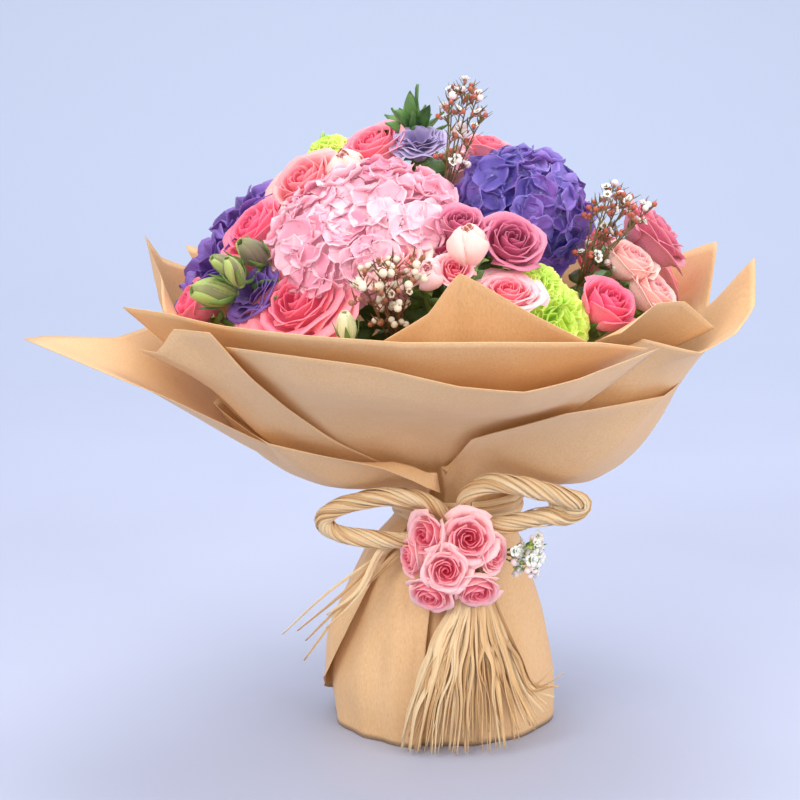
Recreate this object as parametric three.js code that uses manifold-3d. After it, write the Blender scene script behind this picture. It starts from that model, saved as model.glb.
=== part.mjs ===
// Hand-tied mixed flower bouquet in kraft paper with a raffia bow. Millimetres, +Z up, the front faces -Y.
// It stands on its cut stem ends and on the hem of the paper skirt. The origin is the centre of the
// middle stem's cut end. Angles are degrees around +Z: 0 is the front, 90 the right side, -90 the left.
import * as THREE from 'three';
import { ConvexGeometry } from 'three/addons/geometries/ConvexGeometry.js';
import { mergeVertices } from 'three/addons/utils/BufferGeometryUtils.js';
import Module from 'manifold-3d';

const wasm = await Module();
wasm.setup();

// Driving dimensions
const TIE_HEIGHT = 177;
const TIE_SHIFT = 12;
const TIE_SHIFT_REACH = 45;
const PAPER = 1;
const LAYER_PITCH = 1.6;
const LAYER_SPREAD = 1.6;
const CLEARANCE = 0.5;
const SHORTEST_EDGE = 0.3;
const FLATNESS = 0.05;
const STEM_RADIUS = 2.5;
const BUNDLE_RADIUS = 17.4;
const BUNDLE_LOW = 166;
const BUNDLE_HIGH = 190;
const CORE_RADIUS = 20.4;
const BINDING_DEPTH = 6.6;
const FOOT_SPREAD = 2.7;
const SPIRAL_TURN = 35;
const SLOT_CHOICE = 8;
const STEM_RISE = 0.35;
const NECK_LENGTH = 12;
const BAND_RADIUS = 46;
const BAND_DEPTH = 8;
const KNOT = new THREE.Vector3(14, -62.3, 171);
const KNOT_RADII = [14, 9, 14];
const ROPE_RADIUS = 6.8;
const STRIP = 0.9;
const TASSEL_STRIPS = 11;
const PETAL = 1.1;
const GOLDEN_TURN = 137.5;
const FLORET_SEAT = 7;
const HEAD_CORE = 6;
const FLORET_SPACING = 2.06;
const PETAL_OVERLAP = 0.16;
const TWIG_RADIUS = 1;
const SPRIG_KNUCKLE = [3.4, 3.4, 2.6];
const FORK_DIP = 5;
const FORK_RADIUS = 1.9;
const POSY_STEM_RADIUS = 1.8;
const POSY_KNUCKLE = [6, 3.4, 7];
const ROOM_SLICES = 5;

// Outlines of the paper as [radius, height]: from the tie down to the hem, and from the tie out to the rim
const SKIRT = outline([[42, 177], [43.5, 165], [55, 146], [69, 112], [81, 75], [85, 45], [84, 18], [83, 0]]);
const SKIRT_FLATTENING = 0.15;
const BOWL_SIDE = outline([
  [42, 177], [44, 186], [68, 188], [100, 189], [135, 196], [160, 218], [170, 240], [180, 275], [215, 308],
  [232, 335],
]);
const BOWL_FRONT = outline([
  [42, 177], [46, 190], [56, 206], [72, 224], [94, 243], [118, 257], [146, 270], [178, 288], [208, 310],
  [225, 330],
]);
const FRONT_EDGE = 15;
const SIDE_EDGE = 75;

// Colours, roughness and metalness of the materials
const KRAFT = paint(0xd8b483, 0.82);
const RAFFIA = paint(0xe2c493, 0.75);
const TWINE = paint(0x8a7350, 0.9);
const STEM_GREEN = paint(0x5d7c3a, 0.6);
const LEAF_GREEN = paint(0x3f6b3a, 0.55);
const BUD_GREEN = paint(0x9db35c, 0.55);
const LIME = paint(0xb9dc5c, 0.6);
const HYDRANGEA_PINK = paint(0xf3bcd3, 0.6);
const HYDRANGEA_BLUE = paint(0x6657c4, 0.6);
const DEEP_VIOLET = paint(0x5b3394, 0.6);
const LAVENDER = paint(0x8a6bb0, 0.6);
const HOT_PINK = paint(0xf5698d, 0.55);
const CORAL_PINK = paint(0xf27f95, 0.55);
const PEACH_PINK = paint(0xf6a8a8, 0.55);
const PALE_PINK = paint(0xf8c8c4, 0.55);
const MAUVE_PINK = paint(0xc9608a, 0.55);
const DUSTY_PINK = paint(0xce5c80, 0.55);
const WAX_WHITE = paint(0xe9e4d8, 0.6);

const bouquet = new THREE.Group();

function paint(color, roughness) {
  return new THREE.MeshStandardMaterial({ color, roughness, metalness: 0 });
}

function outline(points) {
  return new THREE.SplineCurve(points.map(([radius, height]) => new THREE.Vector2(radius, height)));
}

function radians(degrees) {
  return THREE.MathUtils.degToRad(degrees);
}

// Repeatable random numbers from 0 to 1 (a small integer hash)
function seeded(seed) {
  let state = seed * 2654435761 % 4294967296;
  return () => {
    state = (state * 1664525 + 1013904223) % 4294967296;
    return state / 4294967296;
  };
}

// The tie leans a little to the right of the foot and of the flowers
function polar(lon, radius, height) {
  const shift = TIE_SHIFT * Math.exp(-(((height - TIE_HEIGHT) / TIE_SHIFT_REACH) ** 2));
  return new THREE.Vector3(
    radius * Math.sin(radians(lon)) + shift,
    -radius * Math.cos(radians(lon)),
    height,
  );
}

function direction(lon, lat) {
  const flat = Math.cos(radians(lat));
  return new THREE.Vector3(
    flat * Math.sin(radians(lon)),
    -flat * Math.cos(radians(lon)),
    Math.sin(radians(lat)),
  );
}

// Solids

function merge(geometry, tolerance) {
  const bare = geometry.clone();
  bare.deleteAttribute('normal');
  bare.deleteAttribute('uv');
  return mergeVertices(bare, tolerance);
}

function toSolid(geometry, tolerance = 1e-4) {
  const merged = merge(geometry, tolerance);
  const mesh = new wasm.Mesh({
    numProp: 3,
    vertProperties: new Float32Array(merged.attributes.position.array),
    triVerts: new Uint32Array(merged.index.array),
  });
  return new wasm.Manifold(mesh);
}

function toGeometry(solid) {
  const mesh = solid.getMesh();
  const geometry = new THREE.BufferGeometry();
  geometry.setAttribute('position', new THREE.BufferAttribute(mesh.vertProperties, 3));
  geometry.setIndex(new THREE.BufferAttribute(mesh.triVerts, 1));
  geometry.computeVertexNormals();
  return geometry;
}

function solidFromFaces(points, faces) {
  const geometry = new THREE.BufferGeometry().setFromPoints(points);
  geometry.setIndex(faces.flat());
  const solid = toSolid(geometry);
  if (solid.volume() > 0) {
    return solid;
  }
  geometry.setIndex(faces.map(([a, b, c]) => [a, c, b]).flat());
  return toSolid(geometry);
}

function join(solids) {
  return wasm.Manifold.union(solids);
}

// A cut or join can leave loose scraps and sealed hollows: only the largest body stays, and it is filled
function largest(solid) {
  const bodies = solid.decompose();
  return bodies.reduce((best, body) => (body.volume() > best.volume() ? body : best));
}

function boxesMeet(one, other) {
  const a = one.boundingBox();
  const b = other.boundingBox();
  return [0, 1, 2].every((axis) => a.min[axis] < b.max[axis] && b.min[axis] < a.max[axis]);
}

// The convex space around a small piece, with the clearance that its neighbours keep
function roomAround(solid) {
  const { vertProperties } = solid.getMesh();
  const corners = [];
  for (let i = 0; i < vertProperties.length; i += 3) {
    for (let axis = 0; axis < 3; axis += 1) {
      for (const side of [-CLEARANCE, CLEARANCE]) {
        const corner = new THREE.Vector3().fromArray(vertProperties, i);
        corner.setComponent(axis, corner.getComponent(axis) + side);
        corners.push(corner);
      }
    }
  }
  return toSolid(new ConvexGeometry(corners));
}

// The same around a bloom that stands along Z: a hull with few sides over slices of its height
function roomOutside(solid, sides = 6) {
  const { vertProperties } = solid.getMesh();
  const { min, max } = solid.boundingBox();
  const slices = Array.from({ length: ROOM_SLICES }, () => ({ reach: 0, low: Infinity, high: -Infinity }));
  for (let i = 0; i < vertProperties.length; i += 3) {
    const [x, y, z] = vertProperties.slice(i, i + 3);
    const share = (z - min[2]) / (max[2] - min[2]);
    const slice = slices[Math.min(ROOM_SLICES - 1, Math.floor(ROOM_SLICES * share))];
    slice.reach = Math.max(slice.reach, Math.hypot(x, y));
    slice.low = Math.min(slice.low, z);
    slice.high = Math.max(slice.high, z);
  }
  const corners = slices.filter(({ reach }) => reach > 0).flatMap(({ reach, low, high }) => {
    const around = (reach + CLEARANCE) / Math.cos(Math.PI / sides);
    return [
      ...ring(around, low - CLEARANCE, sides),
      ...ring(around, high + CLEARANCE, sides),
    ];
  });
  return toSolid(new ConvexGeometry(corners));
}

function clearOf(solid, rooms) {
  const near = rooms.filter((room) => boxesMeet(solid, room));
  return near.length === 0 ? solid : largest(solid.subtract(join(near)));
}

// Merges away the short edges that cuts leave, unless two corners would then touch. Corners that stand out
// of their surface by less than the flatness go first, in add
function withoutShortEdges(solid) {
  const merged = toSolid(toGeometry(solid), SHORTEST_EDGE);
  const corners = merge(toGeometry(merged), 1e-3).attributes.position.count;
  return merged.decompose().length === 1 && corners === merged.numVert() ? merged : solid;
}

function add(name, solid, material) {
  const whole = largest(toSolid(toGeometry(largest(solid).simplify(FLATNESS))));
  const mesh = new THREE.Mesh(toGeometry(withoutShortEdges(whole)), material);
  mesh.name = name;
  bouquet.add(mesh);
}

// A closed body through rings that all have the same number of points
function loft(rings) {
  const count = rings[0].length;
  const faces = [];
  for (let i = 0; i < rings.length - 1; i += 1) {
    for (let j = 0; j < count; j += 1) {
      const a = i * count + j;
      const b = i * count + (j + 1) % count;
      faces.push([a, b, b + count], [a, b + count, a + count]);
    }
  }
  const last = (rings.length - 1) * count;
  for (let j = 1; j < count - 1; j += 1) {
    faces.push([0, j + 1, j], [last, last + j, last + j + 1]);
  }
  return solidFromFaces(rings.flat(), faces);
}

function gridNormal(grid, row, column) {
  const before = grid[Math.max(row - 1, 0)][column];
  const after = grid[Math.min(row + 1, grid.length - 1)][column];
  const left = grid[row][Math.max(column - 1, 0)];
  const right = grid[row][Math.min(column + 1, grid[row].length - 1)];
  return new THREE.Vector3()
    .crossVectors(after.clone().sub(before), right.clone().sub(left))
    .normalize();
}

// A petal or leaf from rows of points: thick along its middle, and thin at its two sides
function blade(grid, thickness) {
  const rings = grid.map((row, i) => {
    const back = row.slice(1, -1).map((point, j) => point
      .clone()
      .addScaledVector(gridNormal(grid, i, j + 1), thickness));
    return [...row, ...back.reverse()];
  });
  return loft(rings);
}

// A sheet of even thickness through a grid of points; its two faces split into the same triangles
function sheet(grid, thickness, standsOnFloor) {
  const rows = grid.length;
  const columns = grid[0].length;
  const points = [-0.5, 0.5].flatMap((side) => grid.flatMap((row, i) => row.map((point, j) => {
    const moved = point.clone().addScaledVector(gridNormal(grid, i, j), side * thickness);
    if (standsOnFloor && i === 0 && point.z < 0.5) {
      moved.z = 0;
    }
    return moved;
  })));
  const at = (face, i, j) => face * rows * columns + i * columns + j;
  const faces = [];
  const quad = (a, b, c, d) => faces.push([a, b, c], [a, c, d]);
  for (let i = 0; i < rows - 1; i += 1) {
    for (let j = 0; j < columns - 1; j += 1) {
      quad(at(1, i, j), at(1, i, j + 1), at(1, i + 1, j + 1), at(1, i + 1, j));
      faces.push([at(0, i, j), at(0, i + 1, j + 1), at(0, i, j + 1)]);
      faces.push([at(0, i, j), at(0, i + 1, j), at(0, i + 1, j + 1)]);
    }
    quad(at(0, i, 0), at(1, i, 0), at(1, i + 1, 0), at(0, i + 1, 0));
    quad(at(1, i, columns - 1), at(0, i, columns - 1), at(0, i + 1, columns - 1), at(1, i + 1, columns - 1));
  }
  for (let j = 0; j < columns - 1; j += 1) {
    quad(at(0, 0, j), at(0, 0, j + 1), at(1, 0, j + 1), at(1, 0, j));
    quad(at(1, rows - 1, j), at(1, rows - 1, j + 1), at(0, rows - 1, j + 1), at(0, rows - 1, j));
  }
  return solidFromFaces(points, faces);
}

// The same grid with its border moved outwards
function widened(grid, by) {
  const away = (point, inner) => point.clone().add(point.clone().sub(inner).setLength(by));
  const wide = grid.map((row) => [away(row[0], row[1]), ...row.slice(1, -1), away(row.at(-1), row.at(-2))]);
  const first = wide[0].map((point, j) => away(point, wide[1][j]));
  const last = wide.at(-1).map((point, j) => away(point, wide.at(-2)[j]));
  return [first, ...wide.slice(1, -1), last];
}

// Turns a solid made along +Z so that it points along an axis, and sets it down at a base point
function placed(solid, base, axis, roll) {
  const up = new THREE.Vector3(0, 0, 1);
  const turn = new THREE.Quaternion().setFromUnitVectors(up, axis.clone().normalize());
  const spin = new THREE.Quaternion().setFromAxisAngle(new THREE.Vector3(0, 0, 1), radians(roll));
  const matrix = new THREE.Matrix4().compose(base, turn.multiply(spin), new THREE.Vector3(1, 1, 1));
  return solid.transform(matrix.elements);
}

function ring(radius, height, sides, turn = 0) {
  return Array.from({ length: sides }, (_, i) => {
    const angle = radians(turn) + i / sides * 2 * Math.PI;
    return new THREE.Vector3(radius * Math.cos(angle), radius * Math.sin(angle), height);
  });
}

// A smooth path that is divided at its own points
class StemPath extends THREE.CatmullRomCurve3 {
  getPointAt(share, target) {
    return this.getPoint(share, target);
  }

  getTangentAt(share, target) {
    return this.getTangent(share, target);
  }
}

// A round stem or twig through a list of points
function stem(points, radius, sides) {
  const section = new THREE.Shape(ring(radius, 0, sides).map(({ x, y }) => new THREE.Vector2(x, y)));
  const extrudePath = new StemPath(points);
  return toSolid(new THREE.ExtrudeGeometry(section, {
    steps: points.length - 1,
    bevelEnabled: false,
    extrudePath,
  }));
}

// Paper

// A point on the paper at its own layer: place 0 is the tie, 1 the rim of the bowl, -1 the hem
function outlineAt(lon, place) {
  if (place < 0) {
    const point = SKIRT.getPoint(-place);
    point.x *= 1 - SKIRT_FLATTENING * Math.cos(radians(lon)) ** 2 * Math.sqrt(-place);
    return point;
  }
  const turned = Math.abs(THREE.MathUtils.euclideanModulo(lon + 180, 360) - 180);
  const side = THREE.MathUtils.smoothstep(turned, FRONT_EDGE, SIDE_EDGE);
  return BOWL_FRONT.getPoint(place).lerp(BOWL_SIDE.getPoint(place), side);
}

function onPaper(layer, lon, place) {
  const here = outlineAt(lon, place);
  const step = place < 0 ? 0.01 : -0.01;
  const near = outlineAt(lon, place + step);
  const along = place < 0 ? near.sub(here) : here.clone().sub(near);
  along.normalize();
  if (place === 0) {
    along.set(0, 1);
  }
  const inset = layer * (LAYER_PITCH + LAYER_SPREAD * Math.max(place, 0));
  return polar(lon, here.x - inset * along.y, Math.max(here.y + inset * along.x, 0));
}

// Rows that all sheets share near the tie, so that their layers stay parallel there
const SKIRT_ROWS = [-1, -0.7, -0.4, -0.18];
const TIE_ROWS = [0, 0.1, 0.24];

// A column of a sheet is [angle at the tie, angle above it, ...more points], where a point with two numbers
// is [angle, place on the outline at the sheet's own layer] and one with three is [angle, radius, height]
function column(layer, [tieLon, lowLon, ...more], upperRows) {
  const low = TIE_ROWS.map((place) => {
    const lon = THREE.MathUtils.lerp(tieLon, lowLon, place / TIE_ROWS.at(-1));
    return onPaper(layer, lon, place);
  });
  const free = more.map((point) => (point.length === 2 ? onPaper(layer, ...point) : polar(...point)));
  const upper = new THREE.CatmullRomCurve3([...low.slice(-2), ...free]);
  const start = 1 / (free.length + 1);
  for (let i = 1; i <= upperRows; i += 1) {
    low.push(upper.getPoint(start + (1 - start) * i / upperRows));
  }
  return low;
}

// A column of the skirt is the angles at its rows, from the hem up to the tie. It can stand away at the hem
function skirtColumn(layer, lons, lift, reach = 1) {
  return SKIRT_ROWS.map((place, i) => {
    const point = onPaper(layer, lons[i], reach * place);
    const away = direction(lons[i], 0).multiplyScalar(-lift * place);
    return point.add(away);
  });
}

function spread(columns, across) {
  return columns[0].map((_, row) => {
    const curve = new THREE.CatmullRomCurve3(columns.map((points) => points[row]));
    return Array.from({ length: across + 1 }, (__, j) => curve.getPoint(j / across));
  });
}

const sheets = [];
const sheetRooms = [];

// Makes a sheet, keeps the room that other pieces leave around it, and trims it where it would cross one
function paperSheet(grids) {
  const thick = join(grids.map((grid) => sheet(widened(grid, CLEARANCE), PAPER + 2 * CLEARANCE, false)));
  const plain = join(grids.map((grid) => sheet(grid, PAPER, true)));
  const near = sheetRooms.filter((room) => boxesMeet(plain, room));
  const solid = near.length === 0 ? plain : largest(plain.subtract(join(near)));
  sheetRooms.push(thick);
  return solid;
}

// Outer wrap, left half: lapel from the knot round to the back, and the skirt below it down to the hem
const wrapLeftSkirt = [
  [[-70, -58, -51, -48], 9, 0.72],
  [[-94, -86, -78, -70], 6, 0.84],
  [[-119, -114, -107, -99], 2, 0.95],
  [[-145, -142, -136, -130], 0],
  [[-172, -170, -166, -162], 0],
  [[-198, -196, -192, -190], 0],
];
const wrapLeftBowl = [
  [-38, -12, [-11, 61, 195]],
  [-60, -32, [-29, 0.35], [-28, 101, 222]],
  [-88, -62, [-54, 0.42], [-50, 163, 244]],
  [-118, -104, [-92, 0.42], [-88, 172, 250]],
  [-150, -146, [-136, 0.42], [-132, 176, 258]],
  [-185, -188, [-188, 0.42], [-190, 178, 262]],
];
const wrapRightSkirt = [
  [[-24, -24, -24, -22], 0],
  [[10, 10, 10, 10], 0],
  [[44, 44, 42, 40], 2],
  [[78, 76, 74, 70], 7],
  [[108, 106, 104, 100], 7],
  [[138, 136, 134, 132], 2],
  [[172, 172, 172, 172], 0],
];
const wrapRightBowl = [
  [-18, -8, [-5, 56.6, 208.4]],
  [10, 4, [8, 0.32], [11, 96.4, 244.6]],
  [34, 24, [26, 0.42], [30, 163.4, 274.6]],
  [62, 52, [54, 0.42], [60, 180, 275]],
  [94, 88, [90, 0.42], [90, 184, 273]],
  [130, 128, [130, 0.42], [130, 180, 266]],
  [172, 172, [172, 0.42], [172, 176, 258]],
];

const WRAP_ROWS = 3;
function wholeWrap(layer, skirts, bowls, across) {
  const columns = bowls.map((bowl, i) => [
    ...skirtColumn(layer, ...skirts[i]),
    ...column(layer, bowl, WRAP_ROWS),
  ]);
  return spread(columns, across);
}

sheets.push(['wrap_left', [wholeWrap(0, wrapLeftSkirt, wrapLeftBowl, 11)]]);

// Front panel of the skirt: its left edge is tucked under the left wrap, its right edge stands open
const panelColumns = [
  [[-122, -120, -116, -112], 0],
  [[-94, -92, -88, -84], 0],
  [[-66, -64, -61, -58], 0],
  [[-40, -40, -40, -40], 0],
  [[-24, -23, -22, -22], 2],
  [[-14, -11, -9, -9], 7],
].map(([lons, lift]) => [
  ...skirtColumn(1, lons, lift),
  onPaper(1, lons[3], 0),
]);
sheets.push(['wrap_front_panel', [spread(panelColumns, 7)]]);
sheets.push(['wrap_right', [wholeWrap(2.35, wrapRightSkirt, wrapRightBowl, 13)]]);

// Collar sheets, from the outside in, each as its layer, its columns and how many facets it has across
const COLLAR_ROWS = 3;
const leftWing = [
  [-52, -54, [-54, 0.42], [-55, 184, 266], [-61, 249, 288], [-75, 306, 314]],
  [-64, -66, [-66, 0.42], [-68, 190, 268], [-74, 250, 287], [-80, 290, 310]],
  [-80, -84, [-84, 0.42], [-84, 192, 270], [-85, 216, 286], [-86, 240, 302]],
  [-95, -100, [-100, 0.42], [-100, 187, 268], [-100, 205, 284], [-99, 222, 300]],
];
const leftFold = [
  [-62, -61, [-60, 0.42], [-57, 172, 268], [-58, 206, 291], [-63, 238, 313]],
  [-55, -54, [-53, 0.42], [-53, 170, 269], [-54, 205, 295], [-58, 234, 314]],
  [-47, -48, [-48, 0.42], [-48, 168, 270], [-49, 203, 300], [-53, 231, 333]],
  [-38, -40, [-40, 0.42], [-40, 166, 271], [-40, 202, 303], [-43, 231, 337]],
];
const frontSheet = [
  [-54, -50, [-50, 0.42], [-48, 160, 275], [-46, 194, 304], [-43, 217, 325]],
  [-34, -33, [-32, 0.42], [-31, 158, 275], [-29, 190, 300], [-27, 213, 325]],
  [-15, -15, [-15, 0.42], [-14, 150, 274], [-13, 186, 296], [-12, 210, 321]],
  [2, 2, [2, 0.42], [2, 150, 272], [2, 188, 290], [2, 216, 311]],
  [15, 14, [14, 0.42], [14, 154, 275], [14, 190, 291], [13, 219, 307]],
  [26, 24, [24, 0.42], [24, 158, 278], [24, 192, 295], [23, 219, 313]],
  [38, 36, [36, 0.42], [37, 160, 281], [38, 190, 301], [42, 213, 324]],
];
const innerCollar = [
  [-80, -78, [-78, 0.42], [-76, 172, 280], [-75, 210, 305], [-75, 237, 333]],
  [-62, -62, [-62, 0.42], [-61, 166, 282], [-61, 197, 308], [-61, 223, 338]],
  [-46, -46, [-46, 0.42], [-45, 156, 284], [-45, 188, 312], [-44, 215, 338]],
  [-28, -28, [-28, 0.42], [-27, 152, 284], [-26, 184, 310], [-26, 212, 339]],
  [-8, -8, [-8, 0.42], [-8, 148, 283], [-8, 180, 308], [-8, 210, 338]],
  [12, 12, [12, 0.42], [12, 146, 283], [12, 178, 306], [12, 207, 337]],
  [26, 27, [27, 0.42], [28, 150, 285], [29, 176, 305], [30, 203, 331]],
  [38, 39, [39, 0.42], [40, 156, 288], [41, 181, 305], [43, 201, 321]],
];
const frontFlap = [
  [-17, -17, [-16, 108, 274], [-15, 144, 294], [-14, 174, 320], [-12, 200, 337]],
  [-6, -6, [-5, 106, 275], [-5, 138, 295], [-4, 163, 324], [-4, 182, 352]],
  [4, 4, [4, 104, 276], [3, 134, 296], [3, 153, 332], [3, 165, 376]],
  [14, 14, [14, 106, 276], [15, 140, 295], [16, 165, 324], [17, 185, 352]],
  [26, 26, [26, 108, 274], [26, 144, 295], [27, 171, 316], [28, 198, 332]],
];
const rightSheet = [
  [38, 38, [39, 0.42], [41, 152, 296], [43, 172, 312], [45, 190, 325]],
  [52, 53, [53, 0.42], [54, 164, 285], [55, 190, 299], [56, 213, 312]],
  [64, 65, [66, 0.42], [67, 170, 282], [68, 198, 299], [69, 222, 318]],
  [76, 77, [78, 0.42], [78, 172, 281], [79, 204, 300], [80, 229, 330]],
  [84, 85, [85, 0.42], [85, 172, 282], [86, 206, 308], [87, 230, 360]],
  [94, 94, [94, 0.42], [94, 166, 280], [95, 186, 300], [96, 201, 318]],
  [104, 103, [103, 0.42], [103, 168, 282], [103, 197, 308], [103, 216, 362]],
  [117, 116, [116, 0.42], [115, 166, 282], [115, 190, 308], [115, 205, 346]],
  [132, 131, [131, 0.42], [131, 164, 280], [131, 184, 303], [131, 198, 328]],
];
const rightFlap = [
  [40, 40, [40, 112, 278], [39, 144, 310], [38, 170, 324], [37, 195, 334]],
  [48, 48, [48, 114, 278], [48, 148, 308], [48, 170, 330], [48, 193, 349]],
  [56, 56, [56, 116, 278], [57, 154, 303], [57, 176, 326], [57, 197, 346]],
  [64, 64, [64, 118, 274], [64, 162, 297], [65, 188, 312], [66, 209, 323]],
];
const leftBack = [
  [-71, -71, [-71, 0.42], [-71, 162, 290], [-71, 188, 313], [-71, 210, 332]],
  [-80, -80, [-80, 0.42], [-80, 168, 288], [-80, 194, 316], [-82, 207, 348]],
  [-90, -90, [-90, 0.42], [-90, 174, 286], [-91, 212, 320], [-95, 221, 372]],
  [-104, -103, [-103, 0.42], [-102, 172, 284], [-101, 198, 312], [-98, 212, 354]],
  [-120, -119, [-119, 0.42], [-118, 168, 280], [-116, 188, 305], [-113, 202, 334]],
];
const backSheet = [
  [-106, -106, [-106, 0.42], [-106, 162, 286], [-106, 182, 314], [-107, 203, 358]],
  [-132, -132, [-132, 0.42], [-132, 162, 284], [-132, 182, 309], [-132, 194, 336]],
  [-158, -158, [-158, 0.42], [-158, 162, 284], [-158, 184, 309], [-158, 204, 352]],
  [-184, -184, [-184, 0.42], [-184, 162, 284], [-184, 184, 308], [-184, 198, 338]],
  [-210, -210, [-210, 0.42], [-210, 162, 284], [-210, 184, 309], [-210, 204, 352]],
  [-236, -236, [-236, 0.42], [-236, 158, 286], [-236, 176, 311], [-236, 190, 334]],
];

function collarGrid(layer, columns, across) {
  return spread(columns.map((points) => column(layer, points, COLLAR_ROWS)), across);
}

sheets.push(['left_wing', [collarGrid(3, leftWing, 4)]]);
sheets.push(['left_fold', [collarGrid(4, leftFold, 3)]]);
sheets.push(['front_sheet', [collarGrid(5, frontSheet, 7)]]);
sheets.push(['inner_collar', [collarGrid(6, innerCollar, 8), collarGrid(6.45, frontFlap, 4)]]);
sheets.push(['right_sheet', [collarGrid(7, rightSheet, 8), collarGrid(7.45, rightFlap, 3)]]);
sheets.push(['left_back_sheet', [collarGrid(7, leftBack, 4)]]);
sheets.push(['back_sheet', [collarGrid(8, backSheet, 7)]]);

for (const [name, grids] of sheets) {
  add(name, paperSheet(grids), KRAFT);
}

// Raffia: a band around the waist, a bow tied on its front, and a tassel of loose ends

// A twisted rope: its section is a rounded triangle of strands that turns as it goes
function rope(points, radius, steps, turns) {
  const path = new THREE.CatmullRomCurve3(points);
  const frames = path.computeFrenetFrames(steps, false);
  return loft(frames.tangents.map((_, i) => {
    const centre = path.getPoint(i / steps);
    return Array.from({ length: 6 }, (__, j) => {
      const angle = (j / 6 + turns * i / steps) * 2 * Math.PI;
      const reach = radius * (j % 2 === 0 ? 1 : 0.76);
      return centre.clone()
        .addScaledVector(frames.normals[i], reach * Math.cos(angle))
        .addScaledVector(frames.binormals[i], reach * Math.sin(angle));
    });
  }));
}

// A flat strip of raffia, its width square to the line of sight from the front
function strip(points, width, steps, turn) {
  const path = new THREE.CatmullRomCurve3(points);
  return loft(Array.from({ length: steps + 1 }, (_, i) => {
    const centre = path.getPoint(i / steps);
    const tangent = path.getTangent(i / steps);
    const facing = new THREE.Vector3(Math.sin(turn * i / steps), -Math.cos(turn * i / steps), 0);
    const across = new THREE.Vector3().crossVectors(tangent, facing).setLength(width / 2);
    const through = new THREE.Vector3().crossVectors(across, tangent).setLength(STRIP / 2);
    return [[-1, -1], [1, -1], [1, 1], [-1, 1]].map(([u, v]) => centre.clone()
      .addScaledVector(across, u)
      .addScaledVector(through, v));
  }));
}

function ellipsoid(centre, radii, sides, rows) {
  const geometry = new THREE.SphereGeometry(1, sides, rows);
  geometry.scale(...radii);
  geometry.translate(centre.x, centre.y, centre.z);
  return toSolid(geometry);
}

function raffiaBand() {
  const profile = [[0, -11], [0.9, -9], [0.75, -3], [1, 2], [0, 6], [0, -11]];
  const geometry = new THREE.LatheGeometry(profile.map(([depth, height]) => new THREE.Vector2(
    BAND_RADIUS + depth * BAND_DEPTH,
    TIE_HEIGHT + height,
  )), 20);
  geometry.rotateX(Math.PI / 2);
  geometry.translate(TIE_SHIFT, 0, 0);
  return toSolid(geometry);
}

function knot() {
  return ellipsoid(KNOT, KNOT_RADII, 8, 6);
}

const vectors = (points) => points.map((point) => new THREE.Vector3(...point));

const leftLoop = vectors([
  [6, -63, 176], [-13, -63, 190], [-38, -63, 193], [-67, -62, 188], [-86, -60, 177], [-80, -58, 165],
  [-53, -59, 160], [-25, -61, 160], [4, -62, 167],
]);
const rightLoop = vectors([
  [20, -64, 178], [16, -71, 194], [31, -75, 206], [50, -77, 206], [68, -76, 202], [85, -74, 197],
  [101, -71, 190], [92, -69, 181], [76, -68, 180], [58, -67, 176], [40, -66, 172], [20, -63, 172],
]);
const leftTails = [
  [[-24, -58, 160], [-40, -57, 150], [-78, -68, 120], [-120, -62, 86]],
  [[-20, -57, 159], [-35, -55, 145], [-70, -70, 114], [-105, -66, 70]],
  [[-28, -58, 161], [-46, -60, 149], [-64, -72, 124], [-88, -72, 98]],
];

function raffiaBow() {
  const tails = leftTails.map((points) => strip(vectors(points), 5, 3, 0.3));
  return join([
    knot(),
    rope(leftLoop, ROPE_RADIUS, 13, 2.5),
    rope(rightLoop, ROPE_RADIUS, 14, 3),
    ...tails,
  ]);
}

// The strips hang from a neck under the knot and fan out to the right in front of the skirt
function raffiaTassel() {
  const random = seeded(5);
  const neck = ellipsoid(new THREE.Vector3(16, -62.6, 138.5), [10, 5, 22], 6, 4);
  const strips = Array.from({ length: TASSEL_STRIPS }, (_, i) => {
    const share = i / (TASSEL_STRIPS - 1);
    const lon = -18 + 66 * share ** 1.3 + 6 * (random() - 0.5);
    const tip = Math.max(3, 52 * share ** 5 + 12 * (random() - 0.3));
    const reach = 84 + 30 * share ** 3 + 3 * (i % 3);
    return strip([
      new THREE.Vector3(14 + 10 * share, -65 + (i % 2), 136),
      polar(THREE.MathUtils.lerp(16, lon, 0.42), 76 + (i % 3), 88),
      polar(THREE.MathUtils.lerp(16, lon, 0.74), 82 + 2 * (i % 3), 46 + 8 * share),
      polar(lon, reach, tip),
    ], 5 + 2 * random(), 3, 0.5 * (random() - 0.5));
  });
  return join([neck, ...strips]);
}

// Flowers: each is made along +Z on a base at height 0, then set in its place

// A bloom as one closed body. Its rings run from the base up over the outside of each layer of petals and
// down its inside, to the heart. A ring is [radius, height, petals, dip between petals, ruffle], with lengths
// as shares of the bloom's radius and height. Each petal's leading edge lies over its neighbour.
function layered(rings, { radius, height, sides, seed }) {
  const random = seeded(seed);
  const solid = loft(rings.map(([reach, up, petals = 0, dip = 0, ruffle = 0]) => {
    const phase = petals * 0.31;
    return Array.from({ length: sides }, (_, i) => {
      const angle = i / sides * 2 * Math.PI;
      const share = (i * petals / sides + phase) % 1;
      const overlap = petals === 0 ? 1 : 1 + PETAL_OVERLAP * (share - 0.4);
      const wave = ruffle * (random() - 0.5 + (i % 2 === 0 ? 0.5 : -0.5));
      const flat = (reach * overlap + 0.5 * wave) * radius;
      const lift = (up - dip * (2 * share - 1) ** 2 + wave) * height;
      return new THREE.Vector3(flat * Math.cos(angle), flat * Math.sin(angle), lift);
    });
  }));
  return { solid, height, rooms: [roomOutside(solid)] };
}

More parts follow.
